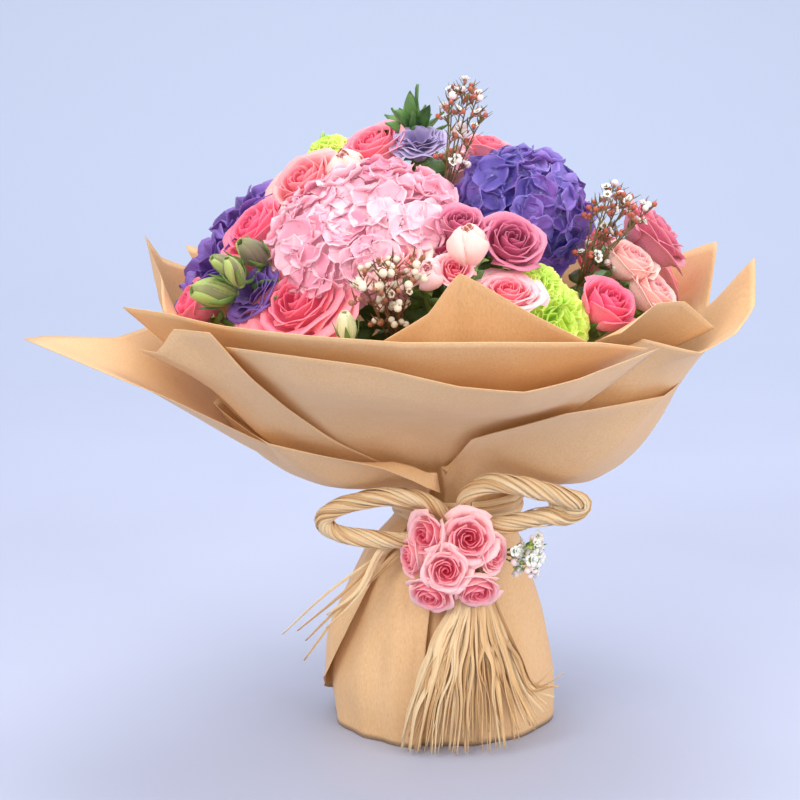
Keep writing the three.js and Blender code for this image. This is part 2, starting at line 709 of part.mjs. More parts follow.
function rose({ radius, tall, open, outer, seed, sides = 8 }) {
  const rim = 0.84 + 0.2 * open;
  const brim = 0.9 - 0.14 * open;
  return layered([
    [0.3, 0],
    [0.86, 0.4, outer],
    [rim, brim, outer, 0.14],
    [0.66, 0.56],
    [0.56 + 0.06 * open, 1, 3, 0.1],
    [0.34, 0.74],
    [0.2, 1],
  ], { radius, height: radius * tall, sides, seed });
}

function roseBud({ radius, tall, seed }) {
  return layered([
    [0.34, 0],
    [0.96, 0.36, 3],
    [0.82, 0.78, 3, 0.1],
    [0.4, 1, 3, 0.06],
    [0.16, 0.9],
  ], { radius, height: radius * tall, sides: 9, seed });
}

function lisianthus({ radius, seed }) {
  return layered([
    [0.22, 0],
    [0.58, 0.36, 5],
    [1, 0.86, 5, 0.16, 0.14],
    [0.46, 0.5],
    [0.54, 1, 3, 0.1, 0.12],
    [0.14, 0.7],
  ], { radius, height: 1.05 * radius, sides: 10, seed });
}

function carnation({ radius, seed }) {
  return layered([
    [0.26, 0],
    [0.72, 0.2],
    [1, 0.46, 0, 0, 0.12],
    [0.8, 0.54],
    [0.86, 0.72, 0, 0, 0.12],
    [0.6, 0.74],
    [0.62, 0.9, 0, 0, 0.12],
    [0.36, 0.86],
    [0.3, 1, 0, 0, 0.08],
    [0.1, 0.9],
  ], { radius, height: 1.15 * radius, sides: 8, seed });
}

// A frilled disc: a rim of points, a dished top and a root that runs down into the bloom
function floret(rim, dish, root) {
  const count = rim.length;
  const faces = rim.flatMap((_, i) => {
    const next = (i + 1) % count;
    return [[i, next, count], [next, i, count + 1]];
  });
  return solidFromFaces([...rim, new THREE.Vector3(0, 0, dish), new THREE.Vector3(0, 0, root)], faces);
}

// A head of four-lobed florets on a smaller core; wide and deep are the radii of the head. They go round
// it in a spiral from the crown down, and each takes up the same area
function hydrangea({ wide, deep, floretRadius, seed, lowest }) {
  const random = seeded(seed);
  const florets = [];
  let up = 0.97;
  while (up > lowest) {
    const around = radians(florets.length * GOLDEN_TURN);
    const flat = Math.sqrt(1 - up * up);
    const normal = new THREE.Vector3(
      flat * Math.cos(around) / wide,
      flat * Math.sin(around) / wide,
      up / deep,
    );
    const spot = new THREE.Vector3(
      (wide - FLORET_SEAT) * flat * Math.cos(around),
      (wide - FLORET_SEAT) * flat * Math.sin(around),
      deep + (deep - 6) * up,
    );
    const rim = Array.from({ length: 8 }, (_, j) => {
      const angle = j / 8 * 2 * Math.PI;
      const lobe = floretRadius * (j % 2 === 0 ? 1.04 : 0.7);
      return new THREE.Vector3(lobe * Math.cos(angle), lobe * Math.sin(angle), 5 + 2.5 * random());
    });
    florets.push(placed(floret(rim, 4, -6), spot, normal, 90 * random()));
    const girth = 2 * Math.PI * wide * Math.hypot(wide * up, deep * flat);
    up -= (FLORET_SPACING * floretRadius) ** 2 / girth;
  }
  const middle = new THREE.Vector3(0, 0, deep - HEAD_CORE / 2);
  const core = ellipsoid(middle, [wide - HEAD_CORE, wide - HEAD_CORE, deep - HEAD_CORE / 2], 10, 6);
  const solid = join([core, ...florets]);
  return { solid, height: 2 * deep, rooms: [roomOutside(solid, 10)] };
}

// A pointed bud with blunt ribs
function bud({ radius, length }) {
  const solid = loft([
    ring(0.35 * radius, 0, 6),
    ring(radius, 0.35 * length, 6, 15),
    ring(0.86 * radius, 0.65 * length, 6, 35),
    ring(0.2 * radius, length, 6, 60),
  ]);
  return { solid, height: length, rooms: [roomOutside(solid)] };
}

function leaf({ length, width, bend }) {
  const rows = [[0, 0.1], [0.45, 1], [1, 0.06]];
  return blade(rows.map(([along, share]) => [-1, 0, 1].map((side) => new THREE.Vector3(
    side * share * width / 2,
    bend * along * along - Math.abs(side) * share * width * 0.12,
    length * along,
  ))), PETAL);
}

// Leaves in a spiral up a twig, the top one last
function leafSpray({ leaves, height, length, width, fan, seed }) {
  const random = seeded(seed);
  const top = height - 0.8 * length;
  const pieces = [stem([
    new THREE.Vector3(0, 0, 0),
    new THREE.Vector3(0, 0, top / 2),
    new THREE.Vector3(0, 0, top),
  ], TWIG_RADIUS, 3)];
  for (let i = 0; i < leaves; i += 1) {
    const share = (i + 1) / leaves;
    const around = direction(i * GOLDEN_TURN, 0);
    const lean = around.clone().multiplyScalar(fan / length * (1.3 - share) * (0.8 + 0.4 * random()));
    const axis = new THREE.Vector3(0, 0, 1).add(lean);
    const size = 0.85 + 0.3 * random();
    const blades = leaf({ length: size * length, width: size * width, bend: 3 });
    const spot = new THREE.Vector3(0, 0, top * (0.25 + 0.75 * share) - 2);
    pieces.push(placed(blades, spot, axis, i * GOLDEN_TURN));
  }
  return { solid: join(pieces), height, rooms: pieces.map(roomAround) };
}

// A waxflower sprig: a stalk, and twigs that fan out of its knuckle with cup flowers or buds at their forks
function sprig({ twigs, height, fan, seed, stalk = 6 }) {
  const random = seeded(seed);
  const top = new THREE.Vector3(0, 0, stalk);
  const path = [new THREE.Vector3(), top];
  const pieces = [stem(path, 1.4 * TWIG_RADIUS, 4), ellipsoid(top, SPRIG_KNUCKLE, 6, 3)];
  const rooms = [stem(path, 1.4 * TWIG_RADIUS + 2 * CLEARANCE, 4), roomAround(pieces[1])];
  for (let i = 0; i < twigs; i += 1) {
    const out = direction(i * GOLDEN_TURN, 0).multiplyScalar(Math.sqrt((i + 0.4) / twigs));
    const root = out.clone().multiplyScalar(0.7 * SPRIG_KNUCKLE[0]).add(top);
    const tip = out.clone().multiplyScalar(fan);
    tip.z = stalk + (height - stalk) * (0.8 + 0.25 * random());
    const bow = root.clone().lerp(tip, 0.6);
    bow.z += 0.07 * height;
    pieces.push(stem([root, bow, tip], TWIG_RADIUS, 3));
    rooms.push(stem([root, bow, tip], TWIG_RADIUS + 2 * CLEARANCE, 3));
    [tip, bow].forEach((spot, k) => {
      const outwards = direction(i * GOLDEN_TURN + 120 * k, 45);
      const size = k === 0 ? 3.8 : 3;
      const isBud = (i + k) % 3 === 2;
      const flower = isBud
        ? toSolid(new THREE.OctahedronGeometry(0.85 * size))
        : floret(ring(1.25 * size, 4, 5), 3, -2);
      pieces.push(placed(flower, spot, outwards, 40 * k));
      rooms.push(placed(roomAround(flower), spot, outwards, 40 * k));
    });
  }
  return { solid: join(pieces), height, rooms };
}

// Everything that is already in place, as the rooms that later pieces leave free
const rooms = [];
const stemEnds = [];

// Sets flowers down so that they touch none of the pieces before them. Each flower is given with
// the [x, y, z] of its crown and the [angle, rise] that it faces. A side stalk runs from each to the next
function plant(name, material, flowers) {
  const set = flowers.map(([flower, crown, facing]) => {
    const axis = direction(...facing);
    const base = new THREE.Vector3(...crown).addScaledVector(axis, -flower.height);
    return { flower, base, axis };
  });
  const solids = set.map(({ flower, base, axis }) => placed(flower.solid, base, axis, 0));
  const ownRooms = set.flatMap(({ flower, base, axis }) => {
    return flower.rooms.map((room) => placed(room, base, axis, 0));
  });
  set.slice(1).forEach((other, i) => {
    const middle = set[i].base.clone().lerp(other.base, 0.5).addScaledVector(other.axis, -FORK_DIP);
    const ends = [set[i], other].map((one) => one.base.clone().addScaledVector(one.axis, 4));
    const fork = stem([ends[0], middle, ends[1]], FORK_RADIUS, 4);
    solids.push(fork);
    ownRooms.push(roomAround(fork));
  });
  stemEnds.push(set[0]);
  add(name, clearOf(clearOf(join(solids), rooms), sheetRooms), material);
  rooms.push(...ownRooms);
}

// Posy of small roses in front of the knot
const posyRoses = [
  [16, 0.5, [2, -99, 147], [0, 4]],
  [18, 0.6, [19, -93, 170], [4, 14]],
  [17, 0.4, [-17, -86, 170], [-48, 6]],
  [16, 0.4, [26, -91, 125], [8, -36]],
  [16, 0.4, [-11, -88, 121], [-24, -32]],
  [14, 0.3, [40, -84, 155], [48, 4]],
  [14, 0.3, [-28, -76, 150], [-66, 0]],
];
const posySprig = sprig({ twigs: 5, height: 34, fan: 17, seed: 30 });
posyRoses.forEach(([radius, open, crown, facing], i) => {
  plant(`posy_rose_${i + 1}`, PEACH_PINK, [[smallRose(radius, open, i), crown, facing]]);
});
plant('posy_waxflower', WAX_WHITE, [[posySprig, [69, -76, 152], [70, 2]]]);
const posyEnds = stemEnds.splice(0);

function smallRose(radius, open, i) {
  return rose({ radius, tall: 1.25, open, outer: 4, seed: 40 + i });
}

// Short stems bring the posy together in front of the knot
function posyStems() {
  const gather = new THREE.Vector3(KNOT.x, KNOT.y - KNOT_RADII[1] - 2.6, 158);
  const stems = posyEnds.map(({ base, axis }) => {
    const behind = base.clone().addScaledVector(axis, -3);
    const inside = base.clone().addScaledVector(axis, 2);
    const start = gather.clone().lerp(behind, 0.16);
    return stem([start, inside], POSY_STEM_RADIUS, 3);
  });
  return join([ellipsoid(gather, POSY_KNUCKLE, 6, 4), ...stems]);
}

const knotRoom = roomAround(knot());
const bow = clearOf(clearOf(raffiaBow(), rooms), sheetRooms);
const tassel = clearOf(clearOf(raffiaTassel(), [...rooms, knotRoom]), sheetRooms);
add('raffia_band', clearOf(raffiaBand(), sheetRooms), RAFFIA);
add('raffia_bow', bow, RAFFIA);
add('raffia_tassel', tassel, RAFFIA);
add('posy_stems', clearOf(posyStems(), [...rooms, knotRoom]), STEM_GREEN);

// The dome, from the front ones that keep their shape to the ones that give way behind them
plant('rose_bud_pale', PALE_PINK, [
  [roseBud({ radius: 17, tall: 1.85, seed: 1 }), [14, -141, 401], [-15, 68]],
]);
plant('rose_open_front', PEACH_PINK, [
  [rose({ radius: 23, tall: 0.85, open: 1, outer: 6, seed: 2 }), [44, -141, 363], [16, 58]],
]);
plant('rose_pink_right', HOT_PINK, [
  [rose({ radius: 21, tall: 1.7, open: 0.4, outer: 4, seed: 3 }), [119, -104, 352], [48, 50]],
]);
plant('rose_coral', CORAL_PINK, [
  [rose({ radius: 42, tall: 0.9, open: 0.9, outer: 7, seed: 4 }), [-105, -122, 351], [-38, 38]],
]);
plant('rose_pale', PALE_PINK, [
  [rose({ radius: 21, tall: 1.15, open: 0.7, outer: 5, seed: 5 }), [-33, -133, 384], [-12, 52]],
]);
plant('rose_spray_low', PALE_PINK, [
  [roseBud({ radius: 14, tall: 1.6, seed: 20 }), [-13, -152, 377], [0, 46]],
  [rose({ radius: 13, tall: 1.3, open: 0.6, outer: 3, seed: 21 }), [6, -146, 378], [10, 44]],
]);
plant('carnations_right', LIME, [
  [carnation({ radius: 29, seed: 22 }), [88, -122, 346], [34, 34]],
  [carnation({ radius: 20, seed: 23 }), [69, -116, 368], [24, 50]],
]);
plant('roses_pale_right', PALE_PINK, [
  [rose({ radius: 21, tall: 1.3, open: 0.4, outer: 4, seed: 24 }), [156, -58, 350], [66, 44]],
  [rose({ radius: 20, tall: 1.3, open: 0.3, outer: 4, seed: 25 }), [138, -54, 373], [62, 56]],
]);
plant('rose_mauve', MAUVE_PINK, [
  [rose({ radius: 23, tall: 1.15, open: 0.5, outer: 5, seed: 6 }), [48, -110, 394], [20, 50]],
]);
plant('roses_mauve_small', MAUVE_PINK, [
  [rose({ radius: 17, tall: 1.3, open: 0.4, outer: 4, seed: 26 }), [11, -113, 407], [10, 62]],
  [rose({ radius: 18, tall: 1.3, open: 0.4, outer: 4, seed: 27 }), [-9, -112, 393], [-8, 54]],
]);
plant('lisianthus_buds_left', BUD_GREEN, [
  [bud({ radius: 13, length: 34 }), [-176, -100, 352], [-66, 8]],
  [bud({ radius: 9, length: 30 }), [-162, -92, 374], [-64, 30]],
  [bud({ radius: 8, length: 24 }), [-150, -110, 377], [-50, 60]],
  [bud({ radius: 12, length: 30 }), [-142, -98, 388], [-50, 36]],
]);
plant('bud_cream_front', BUD_GREEN, [[bud({ radius: 7, length: 24 }), [-68, -164, 350], [-20, 70]]]);
plant('rose_hot_low', HOT_PINK, [
  [rose({ radius: 20, tall: 1.5, open: 0.2, outer: 4, seed: 7 }), [-188, -49, 338], [-74, 32]],
]);
plant('rose_hot', HOT_PINK, [
  [rose({ radius: 25, tall: 1.25, open: 0.3, outer: 5, seed: 8 }), [-142, -48, 394], [-66, 46]],
]);
plant('lisianthus_front', DEEP_VIOLET, [[lisianthus({ radius: 23, seed: 15 }), [-136, -94, 352], [-55, 40]]]);
plant('lisianthus_left', DEEP_VIOLET, [[lisianthus({ radius: 33, seed: 16 }), [-172, -14, 358], [-84, 38]]]);
plant('lisianthus_upper', DEEP_VIOLET, [[lisianthus({ radius: 34, seed: 17 }), [-153, 20, 392], [-98, 50]]]);
plant('rose_peach', PEACH_PINK, [
  [rose({ radius: 27, tall: 1.2, open: 0.4, outer: 5, seed: 9 }), [-104, -24, 430], [-50, 56]],
]);
plant('rose_bud_top', PALE_PINK, [
  [roseBud({ radius: 15, tall: 1.7, seed: 10 }), [-71, -25, 445], [-30, 62]],
]);
plant('lisianthus_lavender', LAVENDER, [[lisianthus({ radius: 21, seed: 14 }), [-16, -4, 449], [-10, 72]]]);
plant('waxflower_top', WAX_WHITE, [
  [sprig({ twigs: 6, height: 104, fan: 21, seed: 32, stalk: 42 }), [18, -38, 484], [60, 76]],
]);
plant('rose_top', CORAL_PINK, [
  [rose({ radius: 24, tall: 1.2, open: 0.4, outer: 5, seed: 11 }), [-53, 6, 455], [-60, 70]],
]);
plant('rose_crown_right', CORAL_PINK, [
  [rose({ radius: 18, tall: 1.3, open: 0.3, outer: 4, seed: 12 }), [35, 2, 447], [60, 75]],
]);
plant('carnation_back', LIME, [[carnation({ radius: 18, seed: 19 }), [-82, 30, 449], [-115, 66]]]);
plant('rose_dusty_right', DUSTY_PINK, [
  [rose({ radius: 27, tall: 1.35, open: 0.7, outer: 5, seed: 13 }), [166, -8, 386], [84, 42]],
]);
plant('hydrangea_blue', HYDRANGEA_BLUE, [
  [hydrangea({ wide: 49, deep: 42, floretRadius: 16.5, seed: 50, lowest: -0.3 }), [80, -34, 428], [60, 52]],
]);
plant('hydrangea_pink', HYDRANGEA_PINK, [
  [hydrangea({ wide: 69, deep: 38, floretRadius: 16.5, seed: 51, lowest: -0.1 }), [-64, -88, 417], [-28, 60]],
]);
plant('lisianthus_back', DEEP_VIOLET, [[lisianthus({ radius: 34, seed: 18 }), [-10, 192, 346], [180, 34]]]);
plant('hydrangea_pink_back', HYDRANGEA_PINK, [
  [hydrangea({ wide: 68, deep: 36, floretRadius: 23, seed: 52, lowest: 0 }), [58, 104, 412], [150, 56]],
]);
plant('hydrangea_blue_back', HYDRANGEA_BLUE, [
  [hydrangea({ wide: 62, deep: 34, floretRadius: 22, seed: 53, lowest: 0 }), [-90, 118, 400], [-150, 50]],
]);
plant('roses_back_right', CORAL_PINK, [
  [rose({ radius: 27, tall: 1.2, open: 0.5, outer: 5, seed: 60 }), [170, 62, 346], [108, 34]],
  [rose({ radius: 26, tall: 1.2, open: 0.5, outer: 5, seed: 61 }), [136, 106, 348], [130, 36]],
]);
plant('roses_back_left', HOT_PINK, [
  [rose({ radius: 27, tall: 1.2, open: 0.5, outer: 5, seed: 63 }), [-172, 70, 344], [-112, 34]],
  [rose({ radius: 26, tall: 1.2, open: 0.5, outer: 5, seed: 64 }), [-138, 116, 344], [-132, 34]],
]);

// Sprigs that fill the gaps between the blooms at the front, right and top
plant('waxflower_front', WAX_WHITE, [
  [sprig({ twigs: 7, height: 72, fan: 28, seed: 31 }), [-42, -170, 380], [-8, 58]],
]);
plant('waxflower_right', WAX_WHITE, [
  [sprig({ twigs: 7, height: 78, fan: 26, seed: 33 }), [124, -68, 414], [66, 66]],
]);
plant('top_leaves', LEAF_GREEN, [
  [leafSpray({ leaves: 7, height: 56, length: 27, width: 11, fan: 20, seed: 71 }), [-16, 22, 482], [10, 86]],
]);

// Stems: each runs from under its flower down to the tie, winds past the others there, and splays to its
// cut foot. The twine draws them together into one bundle

function turnOf(point) {
  return Math.atan2(point.x, -point.y);
}

function turnBetween(one, other) {
  const gap = Math.abs(one - other) % (2 * Math.PI);
  return Math.min(gap, 2 * Math.PI - gap);
}

// The slots in the bundle go round in a spiral from its middle. Flowers near the middle of the bouquet take
// the inner slots, each the one of the next few that lies the right way round. Two out of three are side
// stems that fork off in the bundle
function bundleStems() {
  const distance = ({ base }) => Math.hypot(base.x, base.y);
  const free = [...stemEnds].sort((one, other) => distance(one) - distance(other));
  return stemEnds.map((_, i) => {
    const lon = i * GOLDEN_TURN;
    const reach = BUNDLE_RADIUS * Math.sqrt(i / stemEnds.length);
    const slot = direction(lon, 0).multiplyScalar(reach);
    const next = free.slice(0, SLOT_CHOICE);
    const gaps = next.map(({ base }) => turnBetween(turnOf(base), radians(lon)));
    const [{ base, axis }] = free.splice(gaps.indexOf(Math.min(...gaps)), 1);
    const foot = direction(lon - SPIRAL_TURN, 0).multiplyScalar(FOOT_SPREAD * reach).setZ(-4);
    const tie = slot.clone().setX(slot.x + TIE_SHIFT);
    const top = tie.clone().setZ(BUNDLE_HIGH);
    const rise = top.clone().lerp(base, STEM_RISE);
    rise.z = THREE.MathUtils.lerp(BUNDLE_HIGH, base.z, 1.5 * STEM_RISE);
    const neck = base.clone().addScaledVector(axis, -NECK_LENGTH);
    const end = base.clone().addScaledVector(axis, 2);
    const path = [foot, tie.clone().setZ(BUNDLE_LOW), top, rise, neck, end];
    if (i % 3 !== 0) {
      path.splice(0, 2, tie.clone().setZ(TIE_HEIGHT));
    }
    return stem(path, STEM_RADIUS, 3);
  });
}

function bundleCore() {
  const profile = [[0, BUNDLE_LOW], [CORE_RADIUS, BUNDLE_LOW], [CORE_RADIUS, BUNDLE_HIGH], [0, BUNDLE_HIGH]];
  const geometry = new THREE.LatheGeometry(profile.map((point) => new THREE.Vector2(...point)), 14);
  geometry.rotateX(Math.PI / 2);
  geometry.translate(TIE_SHIFT, 0, 0);
  return toSolid(geometry);
}

// Everything under the floor, so that the stems are cut off flat
function floorBlock() {
  const geometry = new THREE.BoxGeometry(300, 300, 20);
  geometry.translate(0, 0, -10);
  return toSolid(geometry);
}

function binding() {
  const profile = [
    [0, -6], [0.8, -5.6], [1, -3.6], [0.75, -2], [1, 0], [0.75, 2], [1, 3.6], [0.8, 5.6], [0, 6], [0, -6],
  ];
  const inner = CORE_RADIUS + CLEARANCE;
  const geometry = new THREE.LatheGeometry(profile.map(([depth, height]) => new THREE.Vector2(
    inner + depth * BINDING_DEPTH,
    TIE_HEIGHT + height,
  )), 14);
  geometry.rotateX(Math.PI / 2);
  geometry.translate(TIE_SHIFT, 0, 0);
  return toSolid(geometry);
}

const bundle = join([bundleCore(), ...bundleStems()]).subtract(floorBlock());
add('stem_bundle', clearOf(clearOf(bundle, rooms), sheetRooms), STEM_GREEN);
add('stem_binding', clearOf(binding(), sheetRooms), TWINE);

export default bouquet;
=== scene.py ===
"""Looks of a hand-tied mixed bouquet in kraft paper: its sheets, raffia, blooms and stems, in metres.

Shapes are worked out in millimetres, in the frame's own axes, and each piece is scaled once, as it is
finished. Angles are degrees around +Z: 0 is the front, 90 the right side.
"""

import math

import bmesh
import bpy
from mathutils import Matrix, Vector, noise
from mathutils.bvhtree import BVHTree


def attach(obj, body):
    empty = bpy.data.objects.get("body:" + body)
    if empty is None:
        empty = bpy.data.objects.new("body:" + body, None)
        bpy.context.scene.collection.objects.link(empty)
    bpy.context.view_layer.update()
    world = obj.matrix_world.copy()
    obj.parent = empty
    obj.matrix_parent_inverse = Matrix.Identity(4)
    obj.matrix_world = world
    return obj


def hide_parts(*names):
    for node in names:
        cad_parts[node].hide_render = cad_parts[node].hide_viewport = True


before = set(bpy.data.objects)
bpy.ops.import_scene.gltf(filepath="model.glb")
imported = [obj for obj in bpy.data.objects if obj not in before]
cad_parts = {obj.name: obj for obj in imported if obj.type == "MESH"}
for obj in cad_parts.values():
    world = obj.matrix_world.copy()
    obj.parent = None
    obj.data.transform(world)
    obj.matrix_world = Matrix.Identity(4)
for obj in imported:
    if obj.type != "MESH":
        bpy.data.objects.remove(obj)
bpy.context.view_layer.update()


# Kraft paper: ten thin sheets, each folded by hand and gathered at the waist, where the raffia holds them.
# The two outer wraps run from the collar through the waist down to the hem.

TIE_HEIGHT = 177
TIE_SHIFT = 12
TIE_SHIFT_REACH = 45
PAPER = 0.6
LAYER_PITCH = 1.6
LAYER_SPREAD = 1.6
SKIRT = [(42, 177), (43.5, 165), (55, 146), (69, 112), (81, 75), (85, 45), (84, 18), (83, 0)]
SKIRT_FLATTENING = 0.15
BOWL_SIDE = [
    (42, 177), (44, 186), (68, 188), (100, 189), (135, 196),
    (160, 218), (170, 240), (180, 275), (215, 308), (232, 335),
]
BOWL_FRONT = [
    (42, 177), (46, 190), (56, 206), (72, 224), (94, 243),
    (118, 257), (146, 270), (178, 288), (208, 310), (225, 330),
]
FRONT_EDGE = 15
SIDE_EDGE = 75
SKIRT_ROWS = [-1, -0.7, -0.4, -0.18]
TIE_ROWS = [0, 0.1, 0.24]
BOWL_ROWS = 3
FINER = 8
RIM_HEIGHT = 376
COLLAR_NEAREST = 60
BUNCH_CORE = 20
PETAL_GAP = 1.2


class Socket:
    """One output of a shader node. Sums and products of it add Math nodes to its material."""

    def __init__(self, finish, output):
        self.finish = finish
        self.output = output

    def math(self, operation, *others):
        values = dict(enumerate([self, *others]))
        return self.finish.node("ShaderNodeMath", {"operation": operation}, values)

    def __add__(self, other):
        return self.math("ADD", other)

    def __mul__(self, other):
        return self.math("MULTIPLY", other)

    def __sub__(self, other):
        return self.math("SUBTRACT", other)

    def __rsub__(self, other):
        return (self * -1) + other


def shader_colour(code):
    """A shader colour from the usual six-figure code."""
    shares = [int(code[i:i + 2], 16) / 255 for i in (0, 2, 4)]
    return (*[s / 12.92 if s <= 0.04045 else ((s + 0.055) / 1.055) ** 2.4 for s in shares], 1)


class Finish:
    """A material under construction: node() adds any node, and surface() closes it with its shader.

    Colours are given as six-figure codes.
    """

    def __init__(self, name):
        self.material = bpy.data.materials.new(name)
        self.material.use_nodes = True
        self.tree = self.material.node_tree
        self.tree.nodes.clear()

    def node(self, kind, settings=None, values=None, out=0):
        made = self.tree.nodes.new(kind)
        for key, value in (settings or {}).items():
            if key == "stops":
                ramp = made.color_ramp
                while len(ramp.elements) < len(value):
                    ramp.elements.new(0.5)
                for element, (position, colour) in zip(ramp.elements, value):
                    element.position = position
                    element.color = shader_colour(colour)
            else:
                setattr(made, key, value)
        for key, value in (values or {}).items():
            if isinstance(value, Socket):
                self.tree.links.new(value.output, made.inputs[key])
            elif isinstance(value, str):
                made.inputs[key].default_value = shader_colour(value)
            else:
                made.inputs[key].default_value = value
        return Socket(self, made.outputs[out])

    def place(self):
        return self.node("ShaderNodeTexCoord", out=3)

    def noise(self, vector, scale, detail, distortion=0):
        values = {"Vector": vector, "Scale": scale, "Detail": detail, "Distortion": distortion}
        return self.node("ShaderNodeTexNoise", None, values)

    def stretched(self, vector, scale):
        return self.node("ShaderNodeMapping", None, {"Vector": vector, "Scale": scale})

    def ramp(self, share, stops):
        return self.node("ShaderNodeValToRGB", {"stops": stops}, {"Fac": share})

    def mix(self, share, one, other):
        return self.node("ShaderNodeMix", {"data_type": "RGBA"}, {0: share, 6: one, 7: other}, out=2)

    def between(self, share, low, high):
        return self.node("ShaderNodeMapRange", None, {"Value": share, "To Min": low, "To Max": high})

    def marks(self):
        """What Body keeps at each point: layer, place along, chance and place across."""
        mark = self.node("ShaderNodeAttribute", {"attribute_name": "petal"}, out=1)
        parts = self.node("ShaderNodeSeparateXYZ", None, {"Vector": mark})
        outputs = [*parts.output.node.outputs, mark.output.node.outputs["Alpha"]]
        return [Socket(self, output) for output in outputs]

    def bump(self, height, distance, strength):
        values = {"Height": height, "Distance": distance, "Strength": strength}
        return self.node("ShaderNodeBump", None, values)

    def surface(self, **values):
        named = {key.replace("_", " "): value for key, value in values.items()}
        shader = self.node("ShaderNodeBsdfPrincipled", None, named)
        end = self.tree.nodes.new("ShaderNodeOutputMaterial")
        self.tree.links.new(shader.output, end.inputs["Surface"])
        return self.material


def faces_on(verts):
    return {face for vert in verts for face in vert.link_faces}


def linked(name, data):
    thing = bpy.data.objects.new(name, data)
    bpy.context.scene.collection.objects.link(thing)
    return thing


class Body:
    """Grids bent into petals, leaves, strands and sheets, gathered into one mesh.

    Each point keeps (layer of its petal, place along it, chance of its petal, place across it).
    """

    def __init__(self):
        self.bm = bmesh.new()
        self.mark = self.bm.verts.layers.float_color.new("petal")
        self.place = Matrix()

    def patch(self, along, across, shape, layer=0.0, chance=0.5, material=0):
        made = bmesh.ops.create_grid(self.bm, x_segments=across, y_segments=along, size=1)["verts"]
        for vert in made:
            u = vert.co.x
            v = (vert.co.y + 1) / 2
            vert.co = self.place @ shape(u, v)
            vert[self.mark] = (layer, v, chance, (u + 1) / 2)
        for face in faces_on(made):
            face.material_index = material
        return made

    def tube(self, points, radius, sides=8, steps=None, taper=1.0, material=0):
        """A round strand through points, closed at both ends."""
        steps = steps or 4 * (len(points) - 1)

        def shape(u, v):
            share = min(max((v * (steps + 2) - 1) / steps, 0), 1)
            centre, tangent = on_curve(points, share), heading(points, share)
            upright = abs(tangent.z) > 0.98
            side = tangent.orthogonal() if upright else tangent.cross(above(1))
            side.normalize()
            other = tangent.cross(side)
            reach = 0 if v < 1e-6 or v > 1 - 1e-6 else radius * (1 + (taper - 1) * share)
            angle = math.pi * u
            return centre + reach * (math.cos(angle) * side + math.sin(angle) * other)

        made = self.patch(steps + 2, sides, shape, material=material)
        faces = faces_on(made)
        bmesh.ops.remove_doubles(self.bm, verts=made, dist=1e-4)
        bmesh.ops.recalc_face_normals(self.bm, faces=[face for face in faces if face.is_valid])

    def bead(self, centre, radii, material=0, fine=1):
        """A small rounded body."""
        matrix = self.place @ Matrix.Translation(centre) @ Matrix.Diagonal((*radii, 1))
        made = bmesh.ops.create_icosphere(self.bm, subdivisions=fine, radius=1, matrix=matrix)["verts"]
        inverse = matrix.inverted()
        for vert in made:
            vert[self.mark] = (0, ((inverse @ vert.co).z + 1) / 2, 0.5, 0.5)
        for face in faces_on(made):
            face.material_index = material

    def thicken(self, thickness):
        """Surfaces become solid. A corner that a tight fold throws far out goes back to its neighbours."""
        made = bmesh.ops.solidify(self.bm, geom=self.bm.faces[:], thickness=thickness)["geom"]
        far = 3 + 6 * thickness
        for vert in [item for item in made if isinstance(item, bmesh.types.BMVert)]:
            others = [edge.other_vert(vert).co for edge in vert.link_edges]
            middle = sum(others, Vector()) / len(others)
            if (vert.co - middle).length > far:
                vert.co = middle

    def keep_inside(self, wall):
        """Points that lie past the wall, seen from the axis, are drawn back to it."""
        for vert in self.bm.verts:
            out = Vector((vert.co.x, vert.co.y, 0))
            reach = out.length
            if vert.co.z > RIM_HEIGHT or reach < COLLAR_NEAREST:
                continue
            out.normalize()
            start = above(vert.co.z) + BUNCH_CORE * out
            hit = wall.ray_cast(start, out, reach - BUNCH_CORE + PETAL_GAP)[0]
            if hit:
                vert.co = hit - PETAL_GAP * out

    def finish(self, node, slot, materials):
        """The mesh becomes the look of a node: it rides with the body and stands in for the solid."""
        bmesh.ops.scale(self.bm, vec=(0.001, 0.001, 0.001), verts=self.bm.verts)
        mesh = bpy.data.meshes.new(f"{node}_look")
        for face in self.bm.faces:
            face.smooth = True
        self.bm.to_mesh(mesh)
        self.bm.free()
        piece = linked(mesh.name, mesh)
        for material in materials:
            mesh.materials.append(material)
        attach(piece, "root")
        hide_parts(node)


def above(height):
    return Vector((0, 0, height))


def on_curve(points, share):
    """A point on the smooth curve through points, evenly spread over them."""
    place = share * (len(points) - 1)
    i = min(int(place), len(points) - 2)
    t = place - i
    b, c = points[i], points[i + 1]
    a = points[i - 1] if i > 0 else 2 * b - c
    d = points[i + 2] if i + 2 < len(points) else 2 * c - b
    bent = (2 * a - 5 * b + 4 * c - d) * t * t + (3 * b - a - 3 * c + d) * t ** 3
    return 0.5 * (2 * b + (c - a) * t + bent)


def on_line(points, share):
    place = share * (len(points) - 1)
    i = min(int(place), len(points) - 2)
    return points[i].lerp(points[i + 1], place - i)


def heading(points, share):
    ahead = on_curve(points, min(share + 0.01, 1))
    behind = on_curve(points, max(share - 0.01, 0))
    return (ahead - behind).normalized()


def smoothstep(value, low, high):
    share = min(max((value - low) / (high - low), 0), 1)
    return share * share * (3 - 2 * share)


def lerp(one, other, share):
    return one + (other - one) * share


def polar(lon, radius, height):
    """The tie leans a little to the right of the foot and of the flowers."""
    shift = TIE_SHIFT * math.exp(-((height - TIE_HEIGHT) / TIE_SHIFT_REACH) ** 2)
    turn = math.radians(lon)
    return Vector((radius * math.sin(turn) + shift, -radius * math.cos(turn), height))


def direction(lon, lat):
    turn, rise = math.radians(lon), math.radians(lat)
    return Vector((math.cos(rise) * math.sin(turn), -math.cos(rise) * math.cos(turn), math.sin(rise)))


